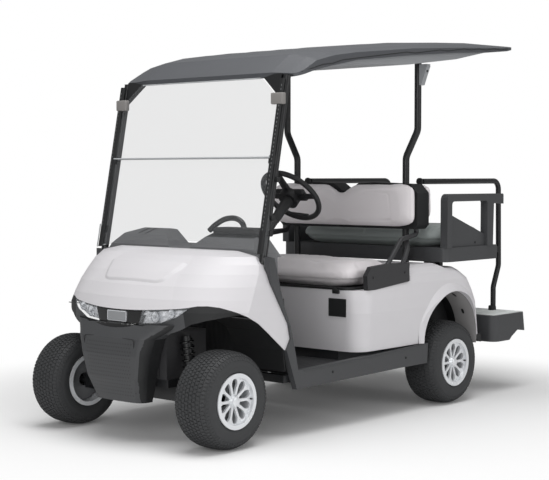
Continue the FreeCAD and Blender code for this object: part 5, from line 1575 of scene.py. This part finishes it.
@dataclass
class Tail:
    """The step's mat, tail lamps, seat catch, sill plugs, roof channels and fasteners.

    Attributes:
        step_z: height of the step's top.
        mat_ribs: ribs along the mat.
        lamp_inner: distance of a tail lamp's inner side from the middle.
        lamp_outer: distance of its outer side.
        lamp_ribs: ribs on its lens.
        sill_x: distance of a sill's face from the middle.
        bolt: radius of a bolt's head.
        bolts: node, y and z of each bolt.
        rib_rise: height of a roof rib.
        rib_count: ribs on the roof.
    """
    step_z: float = 0.428
    mat_ribs: int = 20
    lamp_inner: float = 0.432
    lamp_outer: float = 0.487
    lamp_ribs: int = 7
    sill_x: float = 0.575
    bolt: float = 0.0065
    bolts: tuple[tuple[str, float, float], ...] = (
        ("roof_brackets", 0.44, 1.735), ("roof_brackets", 0.44, 1.78), ("armrests", 0.6, 0.838),
        ("armrests", 0.83, 0.838), ("armrests", 0.985, 0.838), ("hip_restraints", -0.1, 0.7),
        ("hip_restraints", 0.16, 0.712))
    rib_rise: float = 0.0035
    rib_count: int = 4

    def step(self) -> None:
        """A ribbed mat on the rear step."""
        low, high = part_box("footplate")
        base = rounded_block((low.x + 0.02, low.y + 0.02, self.step_z - 0.001),
                             (high.x - 0.02, high.y - 0.02, self.step_z + 0.0022), 0.0012, 1)
        ribs = []
        for step in range(self.mat_ribs):
            y = low.y + 0.036 + (high.y - low.y - 0.072) * step / (self.mat_ribs - 1)
            for x0, x1 in ((-0.53, -0.405), (-0.365, 0.365), (0.405, 0.53)):
                ribs.append(rounded_block((x0, y - 0.0045, self.step_z + 0.001),
                                          (x1, y + 0.0045, self.step_z + 0.0034), 0.001, 1))
        # the mat's near white is painted light where the roof shades the step
        add_piece("step_mat", *merged([base, *ribs]), STEP_MAT, "vehicle")
        sockets = lathe([(0, 0.0225), (0.024, 0.0215), (0.028, 0.018), (0.028, 0.0145)],
                        Vector((0.385, 1.266, self.step_z)), "Z", 24)
        add_piece("post_sockets", *both_sides(sockets), BLACK_TRIM, "vehicle")

    def lamps(self) -> None:
        """Raised ribs and a dark surround on each tail lamp."""
        low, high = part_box("tail_lamps")
        inner, outer = self.lamp_inner, self.lamp_outer

        def run(points: Sequence[tuple[float, float]]) -> list[Vector]:
            """Places on the left lamp's face behind points given as x and z."""
            met = [on_surface("tail_lamps", (x, BEHIND_Y, z), FORWARD) for x, z in points]
            return [hit[0] for hit in met if hit]
        rim = swept(run([(inner, low.z + 0.003), (outer, low.z + 0.003), (outer, high.z - 0.003),
                         (inner, high.z - 0.003)]), 0.0042, 8, closed=True)
        ribs = []
        for step in range(self.lamp_ribs):
            z = low.z + 0.011 + step * (high.z - low.z - 0.022) / (self.lamp_ribs - 1)
            across = run([(inner + 0.005 + (outer - inner - 0.01) * k / 5, z) for k in range(6)])
            ribs.append(swept(across, 0.003, 8))
        add_piece("tail_lamp_rims", *both_sides(rim), BLACK_TRIM, "vehicle")
        add_piece("tail_lamp_ribs", *both_sides(merged(ribs)), RED_LENS, "vehicle", ROLLED)

    def latch(self) -> None:
        """The catch on the seat box under the front cushion, and the socket's frame."""
        catch = merged([rounded_block((0.405, -0.2175, 0.622), (0.445, -0.2045, 0.645), 0.003, 2),
                        rounded_block((0.416, -0.222, 0.632), (0.434, -0.214, 0.65), 0.003, 2)])
        add_piece("seat_catch", *catch, BLACK_TRIM, "vehicle")
        low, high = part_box("socket_cover")
        bars = []
        for a, b in (((low.x - 0.004, low.z - 0.004), (high.x + 0.004, low.z)),
                     ((low.x - 0.004, high.z), (high.x + 0.004, high.z + 0.004)),
                     ((low.x - 0.004, low.z), (low.x, high.z)),
                     ((high.x, low.z), (high.x + 0.004, high.z))):
            bars.append(rounded_block((a[0], low.y - 0.001, a[1]), (b[0], high.y, b[1]), 0.001, 1))
        add_piece("socket_frame", *merged(bars), BLACK_TRIM, "vehicle")

    def sills(self) -> None:
        """Plugs and a bead along each sill."""
        plugs = [bolt_head(Vector((self.sill_x, y, z)), Vector((1, 0, 0)), self.bolt)
                 for y, z in ((0.165, 0.283), (-0.42, 0.276))]
        bead = swept([Vector((0.5755, -0.63, 0.302)), Vector((0.5755, -0.2, 0.312)),
                      Vector((0.5755, 0.34, 0.335))], 0.002, 6)
        add_piece("sill_plugs", *both_sides(merged(plugs)), BLACK_TRIM, "vehicle")
        add_piece("sill_beads", *both_sides(bead), CHARCOAL, "vehicle")

    def roof(self) -> None:
        """A drip channel along both edges of the roof and shallow ribs on its top."""
        channel, steps = [], 24
        low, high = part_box("roof")
        for step in range(steps + 1):
            y = low.y + 0.03 + (high.y - low.y - 0.1) * step / steps
            for lift in range(26):
                met = on_surface("roof", (BESIDE_X, y, 1.66 + 0.01 * lift), INWARD)
                if met and met[0].x > 0.56:
                    channel.append(met[0] + Vector((0.0004, 0, 0.009)))
                    break
        add_piece("roof_channels", *both_sides(swept(channel, 0.0022, 6)), BLACK_TRIM, "vehicle")

        def ray(s: float, t: float) -> tuple[Point, Point]:
            """A ray straight down onto the roof."""
            y = low.y + 0.2 + (high.y - low.y - 0.45) * t
            return (-0.34 + 0.68 * s, y, OVER_ROOF_Z), DOWN

        def rise(s: float, t: float) -> float:
            """Height over the roof: narrow ribs that fade at their ends.

            Args:
                s: share of the ribbed width.
                t: share of its length.

            Returns:
                The height.
            """
            ends = min(t, 1 - t) / 0.06
            wave = 0.5 - 0.5 * math.cos(2 * math.pi * self.rib_count * s)
            side = min(s, 1 - s) / 0.06
            return self.rib_rise * wave ** 3 * min(ends, 1.0) * min(side, 1.0) - 0.0004
        add_piece("roof_ribs", *patch("roof", ray, rise, 96, 50), ROOF_GREY, "vehicle", ROLLED)

    def fasteners(self) -> None:
        """Bolt heads on the struts' brackets, the armrests, the rails and the end panels."""
        heads = []
        for node, y, z in self.bolts:
            met = on_surface(node, (BESIDE_X, y, z), INWARD)
            if met:
                heads.append(bolt_head(met[0], Vector((1, 0, 0)), self.bolt))
        add_piece("panel_bolts", *both_sides(merged(heads)), BLACK_STEEL, "vehicle")
        caps = swept([Vector((0.385, 0.54, 1.165)), Vector((0.385, 0.552, 1.165))], 0.019, 16)
        add_piece("rail_end_collars", *both_sides(caps), BLACK_TRIM, "vehicle")

    def build(self) -> None:
        """Dresses the tail, the sills and the roof."""
        self.step()
        self.lamps()
        self.latch()
        self.sills()
        self.roof()
        self.fasteners()
        repaint("roof_brackets", LINER_GREY, lambda centre, normal: centre.y > 0)


# ---------------------------------------------------------------- studio
@dataclass
class Studio:
    """Plain pale floor, soft lamps and the camera.

    Attributes:
        eye: where the camera stands.
        heading: degrees that it is turned from straight back to the vehicle's right.
        dip: degrees that it looks down.
        lens: focal length in millimetres.
        key: watts of the overhead lamp.
        side: watts of the side lamp.
        front_share: power of the front lamp over the side lamp's.
        fill: strength of the world's light on the vehicle.
        glow: light that the floor gives of its own.
        fade_start: distance from the middle where the floor starts to fade to white.
        fade_end: distance where it is white.
        reach: half the floor's width.
    """
    eye: Point = (4.5984, -5.4285, 1.2045)
    heading: float = 41.2213
    dip: float = 2.7505
    lens: float = 90.07
    key: float = 194.0
    side: float = 56.0
    front_share: float = 1.45
    fill: float = 0.31
    glow: float = 0.04
    fade_start: float = 1.4
    fade_end: float = 2.5
    reach: float = 40.0

    def floor(self) -> None:
        """A pale floor that keeps the shadow and fades to white far from the vehicle."""
        mesh = bpy.data.meshes.new("studio_floor")
        far = self.reach
        mesh.from_pydata([(-far, -far, 0), (far, -far, 0), (far, far, 0), (-far, far, 0)], [],
                         [[0, 1, 2, 3]])
        floor = bpy.data.objects.new("studio_floor", mesh)
        bpy.context.scene.collection.objects.link(floor)
        material = bpy.data.materials.new("painted_floor")
        material.use_nodes = True
        tree = material.node_tree
        tree.nodes.clear()
        paint = add_node(tree, "ShaderNodeBsdfDiffuse", Color=linear("f6f6f6"))
        glow = add_node(tree, "ShaderNodeEmission", Color=(1, 1, 1, 1), Strength=self.glow)
        lit = add_node(tree, "ShaderNodeAddShader", {0: paint.outputs[0], 1: glow.outputs[0]})
        white = add_node(tree, "ShaderNodeEmission", Color=(1, 1, 1, 1), Strength=1.0)
        place = add_node(tree, "ShaderNodeTexCoord").outputs["Object"]
        away = add_node(tree, "ShaderNodeVectorMath", {0: place}, operation="LENGTH")
        fade = add_node(tree, "ShaderNodeMapRange", {"Value": away.outputs["Value"]},
                        interpolation_type="SMOOTHSTEP", From_Min=self.fade_start,
                        From_Max=self.fade_end)
        shown = add_node(tree, "ShaderNodeMixShader", {0: fade.outputs["Result"],
                                                       1: lit.outputs[0], 2: white.outputs[0]})
        rays = add_node(tree, "ShaderNodeLightPath")
        seen = add_node(tree, "ShaderNodeMath", {0: rays.outputs["Is Camera Ray"],
                                                 1: rays.outputs["Is Transmission Ray"]},
                        operation="MAXIMUM")
        both = add_node(tree, "ShaderNodeMixShader", {0: seen.outputs[0], 1: paint.outputs[0],
                                                      2: shown.outputs[0]})
        end = add_node(tree, "ShaderNodeOutputMaterial")
        tree.links.new(both.outputs[0], end.inputs["Surface"])
        mesh.materials.append(material)

    def world(self) -> None:
        """White behind everything, and a plain fill for the rest."""
        world = bpy.data.worlds.new("studio")
        bpy.context.scene.world = world
        world.use_nodes = True
        tree = world.node_tree
        tree.nodes.clear()
        rays = add_node(tree, "ShaderNodeLightPath")
        seen = add_node(tree, "ShaderNodeMath", {0: rays.outputs["Is Camera Ray"],
                                                 1: rays.outputs["Is Transmission Ray"]},
                        operation="MAXIMUM")
        strength = add_node(tree, "ShaderNodeMapRange", {"Value": seen.outputs[0]},
                            To_Min=self.fill, To_Max=1.0)
        fill = add_node(tree, "ShaderNodeBackground", {"Strength": strength.outputs["Result"]},
                        Color=(1, 1, 1, 1))
        end = add_node(tree, "ShaderNodeOutputWorld")
        tree.links.new(fill.outputs[0], end.inputs["Surface"])

    def lamp(self, name: str, place: Point, aim: Point, size: float, power: float) -> None:
        """Adds one square soft lamp.

        Args:
            name: the lamp's name.
            place: where it stands.
            aim: the point that it faces.
            size: its side in metres.
            power: watts.
        """
        data = bpy.data.lights.new(name, "AREA")
        data.shape, data.size, data.energy = "SQUARE", size, power
        lamp = bpy.data.objects.new(name, data)
        lamp.location = place
        lamp.rotation_euler = (Vector(aim) - Vector(place)).to_track_quat("-Z", "Y").to_euler()
        bpy.context.scene.collection.objects.link(lamp)

    def camera(self) -> None:
        """The camera, at the height of a person's chest, with a long lens."""
        data = bpy.data.cameras.new("camera")
        data.lens, data.sensor_width = self.lens, 36.0
        data.clip_end = 200.0
        camera = bpy.data.objects.new("camera", data)
        camera.location = self.eye
        camera.rotation_euler = (math.radians(90 - self.dip), 0.0, math.radians(self.heading))
        bpy.context.scene.collection.objects.link(camera)
        bpy.context.scene.camera = camera

    def build(self) -> None:
        """Sets up the floor, the world, the lamps and the camera."""
        self.floor()
        self.world()
        self.lamp("overhead_softbox", (0.6, -0.8, 5.2), (0, 0, 0.6), 4.0, self.key)
        self.lamp("front_softbox", (3.0, -5.6, 2.3), (0, 0, 0.7), 3.0,
                  self.side * self.front_share)
        self.lamp("side_softbox", (6.5, 1.0, 2.6), (0, 0, 0.7), 3.0, self.side)
        bpy.context.scene.view_settings.view_transform = "Standard"
        self.camera()


def dress_frame() -> None:
    """Gives every CAD node its finish and soft shading."""
    for name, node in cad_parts.items():
        finish = CAD_FINISHES.get(name, BLACK_STEEL)
        node.data.materials.clear()
        node.data.materials.append(finish.build())
        soften(node, 30.0)


def main() -> None:
    """Builds every sub-assembly in order and reports it."""
    logging.basicConfig(level=logging.INFO, format="%(name)s: %(message)s")
    Studio().build()
    log.info("studio")
    dress_frame()
    log.info("finishes on %d packed nodes", len(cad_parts))
    for end, y, x in (("front", FRONT_AXLE_Y, FRONT_WHEEL_X), ("rear", REAR_AXLE_Y, REAR_WHEEL_X)):
        for hand, side in (("left", 1), ("right", -1)):
            Tyre(f"wheel_{end}_{hand}", f"tyre_{end}_{hand}", Vector((side * x, y, AXLE_Z)),
                 side).build()
            log.info("tyre %s %s", end, hand)
    Seats().build()
    log.info("seats")
    for part in (Nose(), Suspension(), Cab(), Tail()):
        part.build()
        log.info("%s", type(part).__name__)


if __name__ == "__main__":
    main()
